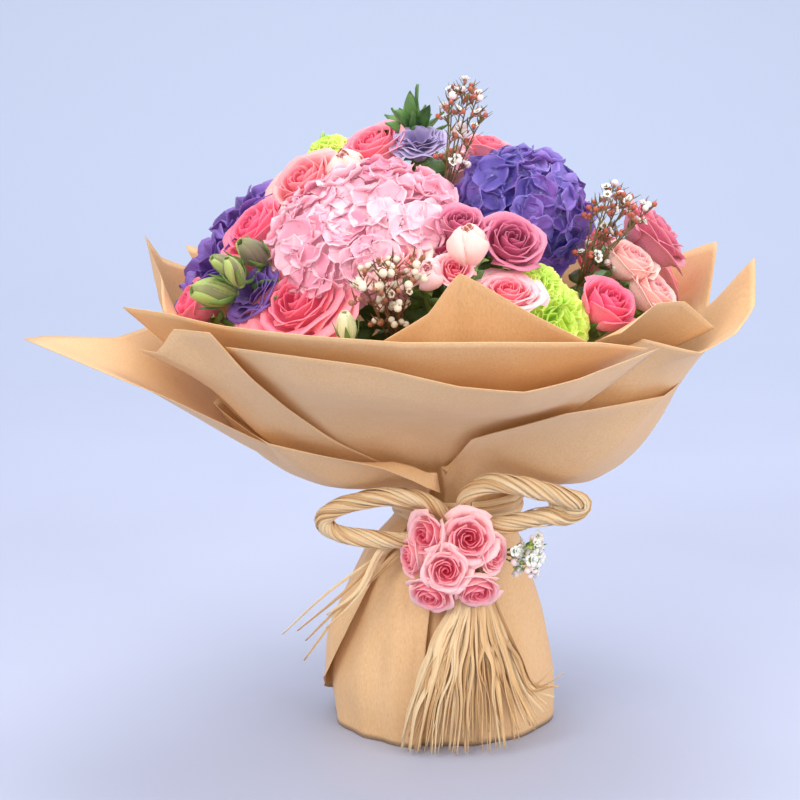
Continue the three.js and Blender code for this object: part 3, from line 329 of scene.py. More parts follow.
def outline_at(lon, place):
    """The paper's outline as radius and height: place 0 is the tie, 1 the rim of the bowl, -1 the hem."""
    if place < 0:
        radius, height = on_curve([Vector(p) for p in SKIRT], -place)
        radius *= 1 - SKIRT_FLATTENING * math.cos(math.radians(lon)) ** 2 * math.sqrt(-place)
        return Vector((radius, height))
    side = smoothstep(abs((lon + 180) % 360 - 180), FRONT_EDGE, SIDE_EDGE)
    front = on_curve([Vector(p) for p in BOWL_FRONT], place)
    return front.lerp(on_curve([Vector(p) for p in BOWL_SIDE], place), side)


def on_paper(layer, lon, place):
    here = outline_at(lon, place)
    along = outline_at(lon, place + 0.01) - here if place < 0 else here - outline_at(lon, place - 0.01)
    along = Vector((0, 1)) if place == 0 else along.normalized()
    inset = layer * (LAYER_PITCH + LAYER_SPREAD * max(place, 0))
    return polar(lon, here.x - inset * along.y, max(here.y + inset * along.x, 0))


def collar_column(layer, column):
    """[angle at the tie, angle above it, ...points of (angle, place) or (angle, radius, height)]."""
    tie_lon, low_lon, *more = column
    low = [on_paper(layer, lerp(tie_lon, low_lon, place / TIE_ROWS[-1]), place) for place in TIE_ROWS]
    free = [on_paper(layer, *point) if len(point) == 2 else polar(*point) for point in more]
    upper = [*low[-2:], *free]
    start = 1 / (len(free) + 1)
    return low + [on_curve(upper, lerp(start, 1, (i + 1) / BOWL_ROWS)) for i in range(BOWL_ROWS)]


def skirt_column(layer, lons, lift, reach=1):
    """Points from the hem up to the tie. The lift holds the hem away, and a reach below 1 keeps it high."""
    points = []
    for place, lon in zip(SKIRT_ROWS, lons):
        points.append(on_paper(layer, lon, reach * place) - lift * place * direction(lon, 0))
    return points


def crumpled(point):
    """Soft creases that all layers share, so that they never cross. The hem and the tie stay as they are."""
    calm = smoothstep(point.z, 4, 40) * smoothstep(abs(point.z - TIE_HEIGHT), 8, 40)
    flat = Vector((point.x, point.y, 0)).normalized()
    turn = math.atan2(point.x, -point.y)
    ridges = abs(noise.noise(Vector((2.6 * math.sin(turn), 2.6 * math.cos(turn), point.z / 90)))) - 0.2
    waves = noise.noise(point / 34)
    gather = math.sin(17 * turn + 3 * math.sin(4 * turn)) * math.exp(-((point.z - 196) / 26) ** 2)
    crease = abs((4.3 * turn + 0.5 * math.sin(2 * turn + 1)) % 2 - 1) - 0.5
    bent = point + flat * (calm * (3.2 * ridges + 0.9 * waves) + 0.9 * gather * smoothstep(point.z, 178, 196))
    bent += flat * (3 * crease * smoothstep(TIE_HEIGHT - point.z, 20, 90))
    bent.z = max(bent.z, PAPER)
    return bent


def paper_grid(body, columns):
    """A finely divided sheet through columns of points."""
    rows = [[column[i] for column in columns] for i in range(len(columns[0]))]

    def shape(u, v):
        share = (u + 1) / 2
        across = []
        for i, row in enumerate(rows):
            crisp = 0.25 * max(i - len(rows) + 4, 0) * (row[0].z > TIE_HEIGHT)
            across.append(on_curve(row, share).lerp(on_line(row, share), crisp))
        return crumpled(on_curve(across, v))

    body.patch(FINER * (len(rows) - 1), FINER * (len(columns) - 1), shape)


def kraft_finish():
    finish = Finish("kraft_paper")
    place = finish.place()
    fibres = finish.noise(finish.stretched(place, (900, 900, 260)), 1, 4, 0.6)
    mottle = finish.noise(place, 26, 3)
    flecks = finish.noise(place, 700, 2)
    tone = mottle * 0.2 + fibres * 0.6 + 0.1
    colour = finish.ramp(tone, [(0.25, "ce9f67"), (0.5, "dab182"), (0.78, "e4c395")])
    colour = finish.mix(smooth_band(flecks, 0.66, 0.74) * 0.3, colour, "a8783f")
    creases = (finish.noise(place, 16, 2, 1.4) - 0.5).math("ABSOLUTE")
    return finish.surface(
        Base_Color=colour,
        Roughness=finish.between(fibres, 0.5, 0.72),
        Normal=finish.bump(fibres * 0.5 + mottle * 0.8 + creases * 6, 0.0004, 0.6),
        Sheen_Weight=0.08,
        # Painted glow: the paper gives off a faint golden light of its own, which warms its shade.
        Emission_Color="dca04a",
        Emission_Strength=0.045,
    )


def smooth_band(value, low, high):
    """0 below low, 1 above high and a soft step between them."""
    values = {"Value": value, "From Min": low, "From Max": high}
    return value.finish.node("ShaderNodeMapRange", {"interpolation_type": "SMOOTHSTEP"}, values)


WRAP_LEFT_SKIRT = [
    ([-70, -58, -51, -48], 9, 0.72), ([-94, -86, -78, -70], 6, 0.84), ([-119, -114, -107, -99], 2, 0.95),
    ([-145, -142, -136, -130], 0), ([-172, -170, -166, -162], 0), ([-198, -196, -192, -190], 0),
]
WRAP_LEFT_BOWL = [
    [-38, -12, (-11, 61, 195)],
    [-60, -32, (-29, 0.35), (-28, 101, 222)],
    [-88, -62, (-54, 0.42), (-50, 163, 244)],
    [-118, -104, (-92, 0.42), (-88, 172, 250)],
    [-150, -146, (-136, 0.42), (-132, 176, 258)],
    [-185, -188, (-188, 0.42), (-190, 178, 262)],
]
WRAP_RIGHT_SKIRT = [
    ([-24, -24, -24, -22], 0), ([10, 10, 10, 10], 0), ([44, 44, 42, 40], 2), ([78, 76, 74, 70], 7),
    ([108, 106, 104, 100], 7), ([138, 136, 134, 132], 2), ([172, 172, 172, 172], 0),
]
WRAP_RIGHT_BOWL = [
    [-18, -8, (-5, 56.6, 208.4)],
    [10, 4, (8, 0.32), (11, 96.4, 244.6)],
    [34, 24, (26, 0.42), (30, 163.4, 274.6)],
    [62, 52, (54, 0.42), (60, 180, 275)],
    [94, 88, (90, 0.42), (90, 184, 273)],
    [130, 128, (130, 0.42), (130, 180, 266)],
    [172, 172, (172, 0.42), (172, 176, 258)],
]
LEFT_WING = [
    [-52, -54, (-54, 0.42), (-55, 184, 266), (-61, 249, 288), (-75, 306, 314)],
    [-64, -66, (-66, 0.42), (-68, 190, 268), (-74, 250, 287), (-80, 290, 310)],
    [-80, -84, (-84, 0.42), (-84, 192, 270), (-85, 216, 286), (-86, 240, 302)],
    [-95, -100, (-100, 0.42), (-100, 187, 268), (-100, 205, 284), (-99, 222, 300)],
]
LEFT_FOLD = [
    [-62, -61, (-60, 0.42), (-57, 172, 268), (-58, 206, 291), (-63, 238, 313)],
    [-55, -54, (-53, 0.42), (-53, 170, 269), (-54, 205, 295), (-58, 234, 314)],
    [-47, -48, (-48, 0.42), (-48, 168, 270), (-49, 203, 300), (-53, 231, 333)],
    [-38, -40, (-40, 0.42), (-40, 166, 271), (-40, 202, 303), (-43, 231, 337)],
]
FRONT_SHEET = [
    [-54, -50, (-50, 0.42), (-48, 160, 275), (-46, 194, 304), (-43, 217, 325)],
    [-34, -33, (-32, 0.42), (-31, 158, 275), (-29, 190, 300), (-27, 213, 325)],
    [-15, -15, (-15, 0.42), (-14, 150, 274), (-13, 186, 296), (-12, 210, 321)],
    [2, 2, (2, 0.42), (2, 150, 272), (2, 188, 290), (2, 216, 311)],
    [15, 14, (14, 0.42), (14, 154, 275), (14, 190, 291), (13, 219, 307)],
    [26, 24, (24, 0.42), (24, 158, 278), (24, 192, 295), (23, 219, 313)],
    [38, 36, (36, 0.42), (37, 160, 281), (38, 190, 301), (42, 213, 324)],
]
INNER_COLLAR = [
    [-80, -78, (-78, 0.42), (-76, 172, 280), (-75, 210, 305), (-75, 237, 333)],
    [-62, -62, (-62, 0.42), (-61, 166, 282), (-61, 197, 308), (-61, 223, 338)],
    [-46, -46, (-46, 0.42), (-45, 156, 284), (-45, 188, 312), (-44, 215, 338)],
    [-28, -28, (-28, 0.42), (-27, 152, 284), (-26, 184, 310), (-26, 212, 339)],
    [-8, -8, (-8, 0.42), (-8, 148, 283), (-8, 180, 308), (-8, 210, 338)],
    [12, 12, (12, 0.42), (12, 146, 283), (12, 178, 306), (12, 207, 337)],
    [26, 27, (27, 0.42), (28, 150, 285), (29, 176, 305), (30, 203, 331)],
    [38, 39, (39, 0.42), (40, 156, 288), (41, 181, 305), (43, 201, 321)],
]
FRONT_FLAP = [
    [-17, -17, (-16, 108, 274), (-15, 144, 294), (-14, 174, 320), (-12, 200, 337)],
    [-6, -6, (-5, 106, 275), (-5, 138, 295), (-4, 163, 324), (-4, 182, 352)],
    [4, 4, (4, 104, 276), (3, 134, 296), (3, 153, 332), (3, 165, 376)],
    [14, 14, (14, 106, 276), (15, 140, 295), (16, 165, 324), (17, 185, 352)],
    [26, 26, (26, 108, 274), (26, 144, 295), (27, 171, 316), (28, 198, 332)],
]
RIGHT_SHEET = [
    [38, 38, (39, 0.42), (41, 152, 296), (43, 172, 312), (45, 190, 325)],
    [52, 53, (53, 0.42), (54, 164, 285), (55, 190, 299), (56, 213, 312)],
    [64, 65, (66, 0.42), (67, 170, 282), (68, 198, 299), (69, 222, 318)],
    [76, 77, (78, 0.42), (78, 172, 281), (79, 204, 300), (80, 229, 330)],
    [84, 85, (85, 0.42), (85, 172, 282), (86, 206, 308), (87, 230, 360)],
    [94, 94, (94, 0.42), (94, 166, 280), (95, 186, 300), (96, 201, 318)],
    [104, 103, (103, 0.42), (103, 168, 282), (103, 197, 308), (103, 216, 362)],
    [117, 116, (116, 0.42), (115, 166, 282), (115, 190, 308), (115, 205, 346)],
    [132, 131, (131, 0.42), (131, 164, 280), (131, 184, 303), (131, 198, 328)],
]
RIGHT_FLAP = [
    [40, 40, (40, 112, 278), (39, 144, 310), (38, 170, 324), (37, 195, 334)],
    [48, 48, (48, 114, 278), (48, 148, 308), (48, 170, 330), (48, 193, 349)],
    [56, 56, (56, 116, 278), (57, 154, 303), (57, 176, 326), (57, 197, 346)],
    [64, 64, (64, 118, 274), (64, 162, 297), (65, 188, 312), (66, 209, 323)],
]
LEFT_BACK = [
    [-71, -71, (-71, 0.42), (-71, 162, 290), (-71, 188, 313), (-71, 210, 332)],
    [-80, -80, (-80, 0.42), (-80, 168, 288), (-80, 194, 316), (-82, 207, 348)],
    [-90, -90, (-90, 0.42), (-90, 174, 286), (-91, 212, 320), (-95, 221, 372)],
    [-104, -103, (-103, 0.42), (-102, 172, 284), (-101, 198, 312), (-98, 212, 354)],
    [-120, -119, (-119, 0.42), (-118, 168, 280), (-116, 188, 305), (-113, 202, 334)],
]
BACK_SHEET = [
    [-106, -106, (-106, 0.42), (-106, 162, 286), (-106, 182, 314), (-107, 203, 358)],
    [-132, -132, (-132, 0.42), (-132, 162, 284), (-132, 182, 309), (-132, 194, 336)],
    [-158, -158, (-158, 0.42), (-158, 162, 284), (-158, 184, 309), (-158, 204, 352)],
    [-184, -184, (-184, 0.42), (-184, 162, 284), (-184, 184, 308), (-184, 198, 338)],
    [-210, -210, (-210, 0.42), (-210, 162, 284), (-210, 184, 309), (-210, 204, 352)],
    [-236, -236, (-236, 0.42), (-236, 158, 286), (-236, 176, 311), (-236, 190, 334)],
]
PANEL = [
    ([-122, -120, -116, -112], 0), ([-94, -92, -88, -84], 0), ([-66, -64, -61, -58], 0),
    ([-40, -40, -40, -40], 0), ([-24, -23, -22, -22], 2), ([-14, -11, -9, -9], 7),
]


def whole_wrap(layer, skirts, bowls):
    return [skirt_column(layer, *skirt) + collar_column(layer, bowl) for skirt, bowl in zip(skirts, bowls)]


kraft = kraft_finish()
COLLAR = {
    "left_wing": [(3, LEFT_WING)], "left_fold": [(4, LEFT_FOLD)], "front_sheet": [(5, FRONT_SHEET)],
    "inner_collar": [(6, INNER_COLLAR), (6.45, FRONT_FLAP)],
    "right_sheet": [(7, RIGHT_SHEET), (7.45, RIGHT_FLAP)],
    "left_back_sheet": [(7, LEFT_BACK)], "back_sheet": [(8, BACK_SHEET)],
}
sheets = {
    "wrap_left": [whole_wrap(0, WRAP_LEFT_SKIRT, WRAP_LEFT_BOWL)],
    "wrap_front_panel": [[[*skirt_column(1, lons, lift), on_paper(1, lons[3], 0)] for lons, lift in PANEL]],
    "wrap_right": [whole_wrap(2.35, WRAP_RIGHT_SKIRT, WRAP_RIGHT_BOWL)],
}
for node, parts in COLLAR.items():
    sheets[node] = [[collar_column(layer, column) for column in columns] for layer, columns in parts]
corners = []
faces = []
for node, grids in sheets.items():
    body = Body()
    for columns in grids:
        paper_grid(body, columns)
    body.thicken(PAPER)
    body.bm.verts.index_update()
    faces += [[len(corners) + vert.index for vert in face.verts] for face in body.bm.faces]
    corners += [vert.co.copy() for vert in body.bm.verts]
    body.finish(node, "kraft_paper", [kraft])
collar = BVHTree.FromPolygons(corners, faces)


# Raffia: flat straw-coloured strips. A hank of them goes round the waist, twisted hanks make the bow's
# loops, and loose ends hang down as tails at the left and as a tassel in front of the skirt.

BAND_RADIUS = 46
BAND_STRANDS = 26
KNOT = Vector((14, -62.3, 171))
STRIP = 0.35
STRIP_TIP = 0.35
GOLDEN_SHARE = 0.618
LEFT_LOOP = [
    (6, -63, 176), (-13, -63, 190), (-38, -63, 193), (-67, -62, 188), (-86, -60, 177), (-80, -58, 165),
    (-53, -59, 160), (-25, -61, 160), (4, -62, 167),
]
RIGHT_LOOP = [
    (20, -64, 178), (16, -71, 194), (31, -75, 206), (50, -77, 206), (68, -76, 202), (85, -74, 197),
    (101, -71, 190), (92, -69, 181), (76, -68, 180), (58, -67, 176), (40, -66, 172), (20, -63, 172),
]
LEFT_TAILS = [
    [(-24, -58, 160), (-40, -57, 150), (-78, -68, 120), (-120, -62, 86)],
    [(-20, -57, 159), (-35, -55, 145), (-70, -70, 114), (-105, -66, 70)],
    [(-28, -58, 161), (-46, -60, 149), (-64, -72, 124), (-88, -72, 98)],
]
TASSEL_STRIPS = 96


def draws(seed):
    """Repeatable random numbers from 0 to 1."""
    state = seed * 2654435761 % 4294967296
    while True:
        state = (state * 1664525 + 1013904223) % 4294967296
        yield state / 4294967296


def ribbon(body, points, width, turn, steps, chance):
    """A flat strip with a slight fold along its middle, which turns on the way and narrows to its tip."""

    def shape(u, v):
        tangent = heading(points, v)
        facing = Vector((math.sin(turn(v)), -math.cos(turn(v)), 0.15))
        across = tangent.cross(facing).normalized()
        through = across.cross(tangent)
        girth = width * (1 - (1 - STRIP_TIP) * v ** 3) / 2
        return on_curve(points, v) + across * (u * girth) + through * (0.3 * girth * abs(u))

    body.patch(steps, 2, shape, chance=chance)


def twisted_hank(body, points, radius, strands, turns, random):
    """Strips laid side by side round a curve and twisted together."""
    for i in range(strands):
        ring = (1 if i < strands * 0.7 else 0.6) * (0.9 + 0.14 * next(random))
        phase = 2 * math.pi * i / (strands * 0.7)
        chance = next(random)
        width = radius * (0.3 + 0.26 * next(random))
        loose = 0.26 * (next(random) - 0.5)

        def shape(u, v, ring=ring, phase=phase, width=width, loose=loose):
            tangent = heading(points, v)
            side = tangent.cross(Vector((0, 1, 0))).normalized()
            other = tangent.cross(side)
            angle = phase + 2 * math.pi * turns * v
            out = math.cos(angle) * side + math.sin(angle) * other
            across = tangent.cross(out)
            ends = 1 - 0.25 * abs(2 * v - 1) ** 4
            reach = radius * ring * ends * (1 + loose * math.sin(9 * v + phase))
            return on_curve(points, v) + out * (reach - 0.12 * width * abs(u)) + across * (u * width / 2)

        body.patch(64, 2, shape, chance=chance)


def raffia_finish():
    finish = Finish("raffia")
    _, along, apart, across = finish.marks()
    grain = (across * 60 + apart * 40).math("SINE")
    strip = finish.node("ShaderNodeCombineXYZ", None, {0: across * 9, 1: along * 3, 2: apart * 31})
    streaks = finish.noise(strip, 1, 4)
    tone = apart * 0.5 + streaks * 0.6
    colour = finish.ramp(tone, [(0.12, "b5824c"), (0.45, "efc48b"), (0.8, "fde3b6")])
    return finish.surface(
        Base_Color=colour,
        Roughness=finish.between(streaks, 0.42, 0.66),
        Normal=finish.bump(grain * 0.4 + streaks, 0.0003, 0.6),
        Sheen_Weight=0.1,
    )


raffia = raffia_finish()
random = draws(11)

band = Body()
for i in range(BAND_STRANDS):
    level = TIE_HEIGHT - 10 + 15 * ((i * GOLDEN_SHARE) % 1)
    depth = 1.2 + 5 * next(random) * (1 - abs(level - TIE_HEIGHT + 2.5) / 9)
    phase = 2 * math.pi * next(random)
    sway = 1 + 2 * next(random)
    width = 3.4 + 2 * next(random)

    def strand(u, v, level=level, depth=depth, phase=phase, sway=sway, width=width):
        turn = 2 * math.pi * v
        reach = BAND_RADIUS + depth + 0.5 * math.sin(3 * turn + phase) - 0.25 * width * abs(u) ** 2
        height = level + sway * math.sin(2 * turn + phase) + u * width / 2
        height = min(max(height, TIE_HEIGHT - 11), TIE_HEIGHT + 7)
        return Vector((TIE_SHIFT + reach * math.sin(turn), -reach * math.cos(turn), height))

    made = band.patch(96, 2, strand, chance=next(random))
    bmesh.ops.remove_doubles(band.bm, verts=made, dist=1e-3)
band.thicken(STRIP)
band.finish("raffia_band", "raffia", [raffia])

bow = Body()
left_loop, right_loop = [Vector(p) for p in LEFT_LOOP], [Vector(p) for p in RIGHT_LOOP]
twisted_hank(bow, left_loop, 6.6, 34, 2.6, random)
twisted_hank(bow, right_loop, 7.0, 36, 2.4, random)
for i in range(12):
    height = -9 + 18 * i / 11
    chance = next(random)

    def wound(u, v, height=height, i=i):
        turn = 2 * math.pi * v + i
        flat = math.sqrt(1 - (height / 13) ** 2)
        rise = height + 2.4 * math.sin(turn)
        spot = Vector((14.5 * flat * math.cos(turn), 9.5 * flat * math.sin(turn), rise))
        return KNOT + spot + above(1.7 * u)

    bmesh.ops.remove_doubles(bow.bm, verts=bow.patch(32, 2, wound, chance=chance), dist=1e-3)
for points in LEFT_TAILS:
    for k in range(2):
        short = 1 - 0.3 * k * next(random)
        way = []
        for j, point in enumerate(points):
            sway = Vector((4 * (next(random) - 0.5), 0, 4 * (next(random) - 0.5)))
            way.append(Vector(point) + j * sway)
        way[-1] = way[-2].lerp(way[-1], short)
        spin = 3.4 * (next(random) - 0.5)
        ribbon(bow, way, 2.4 + 1.2 * next(random), lambda v, spin=spin: spin * v, 24, next(random))
for i in range(16):
    start = Vector((76 + 8 * next(random), -72 + 3 * next(random), 186 + 13 * next(random)))
    end = start + Vector((14 + 10 * next(random), 3 * (next(random) - 0.5), -2 - 9 * next(random)))
    bend = (start + end) / 2 + Vector((0, -1, 3 * next(random)))
    ribbon(bow, [start, bend, end], 2.6 + 1.6 * next(random), lambda v: 0.8 * v, 8, next(random))
bow.thicken(STRIP)
bow.finish("raffia_bow", "raffia", [raffia])

tassel = Body()
for i in range(TASSEL_STRIPS):
    share = (i * GOLDEN_SHARE) % 1
    lon = -19 + 72 * share ** 1.15 + 5 * (next(random) - 0.5)
    tip = max(4, 50 * share ** 6 + 22 * next(random) ** 2)
    front = i % 4
    reach = 83 + 28 * share ** 3 + 2.2 * front
    fall = 0.6 * (next(random) - 0.5)
    cross = 3.4 * (next(random) - 0.5)
    way = [
        Vector((10 + 14 * share, -65.5 - 0.8 * front, 150)),
        Vector((11 + 19 * share, -66 - 0.8 * front, 134)),
        polar(lerp(17, lon, 0.34) + 3 * fall, 74 + 1.6 * front, 112),
        polar(lerp(18, lon, 0.56) - cross, 78.5 + 1.6 * front, 88),
        polar(lerp(18, lon, 0.74) + 4 * fall + cross, 81.5 + 1.8 * front, 64 + 6 * share),
        polar(lerp(18, lon, 0.88) - 4 * fall, 84 + 2 * front + 8 * share ** 3, 36 + 12 * share),
        polar(lon, reach, tip),
    ]
    spin = 4.5 * (next(random) - 0.5)
    ribbon(tassel, way, 2.0 + 3.4 * next(random) ** 2, lambda v, spin=spin: spin * v * v, 30, next(random))
tassel.thicken(STRIP)
tassel.finish("raffia_tassel", "raffia", [raffia])


# Roses: spirals of soft petals round a rolled heart, with a green cup and five narrow sepals under the
# first of each piece. The small ones of the posy are pale with a deep pink heart, those of the dome larger.

PETAL_THICKNESS = 0.45
SEPALS = 5
GOLDEN_TURN = 137.5
GOLDEN_ANGLE = math.radians(GOLDEN_TURN)
BUD = -0.55
POSY_TALL = 1.25


def around(reach, angle, rise):
    return Vector((reach * math.cos(angle), reach * math.sin(angle), rise))


def turned_to(axis):
    return above(1).rotation_difference(axis).to_matrix().to_4x4()


def placed(crown, facing, height):
    """Where a bloom made along +Z stands: its crown is at a point, and its axis faces [angle, rise]."""
    axis = direction(*facing)
    base = Vector(crown) - height * axis
    return Matrix.Translation(base) @ turned_to(axis)


def rose_petals(body, radius, height, opened, count, random):
    for k in range(count):
        t = k / (count - 1)
        chance = next(random)
        start = k * GOLDEN_ANGLE
        body_reach = radius * (0.13 + 0.8 * t ** 0.8)
        top = height * (0.94 + 0.06 * math.sin(math.pi * t) - 0.34 * opened * t ** 1.8 - 0.05 * t * chance)
        low = 0.3 * height * (1 - t)
        wide = lerp(1.5, 0.82 + 0.1 * chance, t ** 0.5)
        flare = -0.2 + (0.2 + 0.5 * opened) * t + 0.65 * min(opened, 0)
        lip = 0.13 * radius * t * (0.4 + opened)
        wave = (0.03 + 0.03 * max(opened, 0) ** 2) * radius * (0.4 + t)

        def shape(u, v):
            belly = 0.22 + 0.78 * math.sin(min(v * 1.55, 1) * math.pi / 2)
            reach = body_reach * (belly + flare * max(v - 0.6, 0) ** 2 / 0.16)
            curl = max(v - 0.78, 0) / 0.22
            reach += lip * curl ** 2
            width = wide * (0.4 + 0.6 * math.sin(math.pi * min(0.12 + 0.62 * v, 0.62)))
            angle = start + u * width * (1 - 0.22 * max(v - 0.7, 0))
            reach *= 1 + (0.05 + 0.3 * (1 - t) ** 3) * u
            reach += wave * math.sin(5 * u + 7 * chance) * v * v
            rise = lerp(low, top, v ** 0.92)
            rise -= (top - low) * 0.2 * u * u * v ** 3
            rise -= 0.42 * lip * curl ** 3
            return around(reach, angle, rise)

        layer = t if opened >= 0 else lerp(0.7, 1, t)
        body.patch(7, 6, shape, layer=layer, chance=chance)


def calyx(body, radius, height, droop=0.5):
    """The green cup under a bloom, with its sepals."""
    for k in range(SEPALS):
        angle = 2 * math.pi * k / SEPALS
        out = Vector((math.cos(angle), math.sin(angle), 0))
        side = Vector((-out.y, out.x, 0))

        def shape(u, v):
            width = 0.2 * radius * (1 - v ** 2) + 0.2
            reach = radius * (0.14 + (0.45 + droop * 0.3) * v)
            rise = height * (0.02 + 0.34 * math.sin(v * 1.6) * (1 - droop * v))
            return out * reach + side * (u * width) + above(rise)

        body.patch(4, 2, shape, material=1)
    body.thicken(PETAL_THICKNESS)
    low = above(-0.02 * height)
    body.bead(low, (0.3 * radius, 0.3 * radius, 0.14 * height), material=1, fine=2)


def petal_finish(name, heart, middle, rim, spot=None, veins=0.35, light=0.1, tint=None):
    """Petals shaded from heart to rim, with fine veins along them, a little light through them, and a painted
    glow: light is how strongly they give off light in their own colour, which lifts their shade.
    """
    finish = Finish(name)
    layer, along, chance, across = finish.marks()
    place = finish.place()
    mottle = finish.noise(place, 90, 3)
    inner = layer * 0.75 + chance * 0.2 + mottle * 0.12
    colour = finish.ramp(inner, [(0.08, heart), (0.55, middle), (0.95, rim)])
    if tint:
        cloud = smooth_band(finish.noise(place, 34, 2), 0.42, 0.66)
        colour = finish.mix(cloud * 0.6, colour, tint)
    edge = smooth_band(along, 0.62, 1.0) * (layer * 0.5 + 0.12)
    colour = finish.mix(edge, colour, rim)
    base = 1 - smooth_band(along, 0.0, 0.4)
    colour = finish.mix(base * 0.6, colour, spot or heart)
    streak = ((across * 110 + mottle * 4).math("SINE") * 0.5 + 0.5) * (1 - along)
    colour = finish.mix(streak * veins * 0.4, colour, heart)
    ribs = (across * 150 + mottle * 5).math("SINE") * 0.5 + mottle * 2
    return finish.surface(
        Base_Color=colour,
        Roughness=finish.between(mottle, 0.42, 0.62),
        Normal=finish.bump(ribs, 0.00025, 0.5),
        Subsurface_Weight=0.12,
        Subsurface_Radius=(0.006, 0.003, 0.002),
        Subsurface_Scale=0.6,
        Sheen_Weight=0.15,
        # Painted glow: the petals give off light in their own colour, so that their shade stays bright.
        Emission_Color=colour,
        Emission_Strength=light,
    )


def leaf_finish(name, dark, light, roughness=(0.34, 0.55)):
    """Green leaf or stalk with paler ribs and uneven colour."""
    finish = Finish(name)
    _, along, _, across = finish.marks()
    mottle = finish.noise(finish.place(), 70, 4)
    aside = (across - 0.5).math("ABSOLUTE")
    middle = 1 - smooth_band(aside, 0.0, 0.09)
    ribs = (along * 60 - aside * 50).math("SINE") * 0.5 + 0.5
    colour = finish.ramp(mottle, [(0.3, dark), (0.72, light)])
    colour = finish.mix(middle * 0.45, colour, light)
    colour = finish.mix(ribs * 0.18, colour, light)
    return finish.surface(
        Base_Color=colour,
        Roughness=finish.between(mottle, *roughness),
        Normal=finish.bump(ribs * 0.6 + mottle, 0.0003, 0.6),
        Subsurface_Weight=0.05,
        Subsurface_Radius=(0.001, 0.002, 0.001),
    )


sepal_green = leaf_finish("sepal_green", "4f7a35", "8fb35a")
stalk_green = leaf_finish("stalk_green", "4a6e33", "86a558")
posy_pink = petal_finish("posy_rose_petal", "e42355", "f48699", "fac8c8")
hot_pink = petal_finish("hot_rose_petal", "d6245c", "ef4f7c", "f9869f")
coral_pink = petal_finish("coral_rose_petal", "e0406a", "f1728e", "faa0aa")
peach_pink = petal_finish("peach_rose_petal", "ea5876", "f08594", "f9b3ae")
pale_pink = petal_finish("pale_rose_petal", "ee8a99", "f4b0ae", "f9cfc4")
mauve_pink = petal_finish("mauve_rose_petal", "a02c58", "c25078", "da819c")
dusty_pink = petal_finish("dusty_rose_petal", "b84468", "d66c88", "e795a6")


# The crown, the way it faces, the radius, the height to the radius, how far open, and the petals.
ROSES = {
    "rose_bud_pale": ("pale_pink", pale_pink, [((14, -141, 401), (-15, 68), 17, 1.85, BUD, 13)]),
    "rose_open_front": ("peach_pink", posy_pink, [((42, -140, 364), (14, 66), 22, 0.85, 0.6, 30)]),
    "rose_pink_right": ("hot_pink", hot_pink, [((119, -104, 352), (48, 50), 21, 1.7, 0.3, 20)]),
    "rose_coral": ("coral_pink", coral_pink, [((-107, -122, 354), (-38, 42), 39, 0.9, 0.8, 38)]),
    "rose_pale": ("pale_pink", pale_pink, [((-33, -133, 384), (-12, 52), 21, 1.15, 0.7, 26)]),
    "rose_spray_low": ("pale_pink", posy_pink, [
        ((-13, -152, 377), (0, 46), 14, 1.6, BUD, 12), ((6, -146, 378), (10, 44), 13, 1.3, 0.6, 18),
    ]),
    "roses_pale_right": ("pale_pink", pale_pink, [
        ((156, -58, 350), (66, 44), 21, 1.3, 0.4, 22), ((138, -54, 373), (62, 56), 20, 1.3, 0.3, 22),
    ]),
    "rose_mauve": ("mauve_pink", mauve_pink, [((48, -110, 394), (20, 46), 22, 1.2, 0.4, 24)]),
    "roses_mauve_small": ("mauve_pink", mauve_pink, [
        ((11, -113, 407), (10, 62), 17, 1.3, 0.4, 20), ((-9, -112, 393), (-8, 54), 18, 1.3, 0.4, 20),
    ]),
    "rose_hot_low": ("hot_pink", hot_pink, [((-188, -49, 338), (-74, 32), 20, 1.5, 0.2, 20)]),
    "rose_hot": ("hot_pink", hot_pink, [((-142, -48, 394), (-66, 46), 25, 1.25, 0.3, 26)]),
    "rose_peach": ("peach_pink", peach_pink, [((-105, -26, 426), (-50, 52), 28, 1.2, 0.45, 26)]),
    "rose_bud_top": ("pale_pink", pale_pink, [((-72, -28, 437), (-30, 58), 17, 1.7, BUD, 13)]),
    "rose_top": ("coral_pink", coral_pink, [((-55, 4, 449), (-50, 62), 26, 1.2, 0.45, 26)]),
    "rose_crown_right": ("coral_pink", coral_pink, [((35, 2, 447), (60, 75), 18, 1.3, 0.3, 20)]),
    "rose_dusty_right": ("dusty_pink", dusty_pink, [((166, -8, 386), (84, 42), 27, 1.35, 0.75, 26)]),
    "roses_back_right": ("coral_pink", coral_pink, [
        ((170, 62, 346), (108, 34), 27, 1.2, 0.5, 24), ((136, 106, 348), (130, 36), 26, 1.2, 0.5, 24),
    ]),
    "roses_back_left": ("hot_pink", hot_pink, [
        ((-172, 70, 344), (-112, 34), 27, 1.2, 0.5, 24), ((-138, 116, 344), (-132, 34), 26, 1.2, 0.5, 24),
    ]),
}
POSY = [
    (16, 0.5, (2, -99, 147), (0, 4)), (18, 0.6, (19, -93, 170), (4, 14)),
    (17, 0.4, (-17, -86, 170), (-48, 6)), (16, 0.4, (26, -91, 125), (8, -36)),
    (16, 0.4, (-11, -88, 121), (-24, -32)), (14, 0.3, (40, -84, 155), (48, 4)),
    (14, 0.3, (-28, -76, 150), (-66, 0)),
]
for i, (radius, opened, crown, facing) in enumerate(POSY):
    ROSES[f"posy_rose_{i + 1}"] = ("peach_pink", posy_pink, [(crown, facing, radius, POSY_TALL, opened, 20)])
stem_ends = []
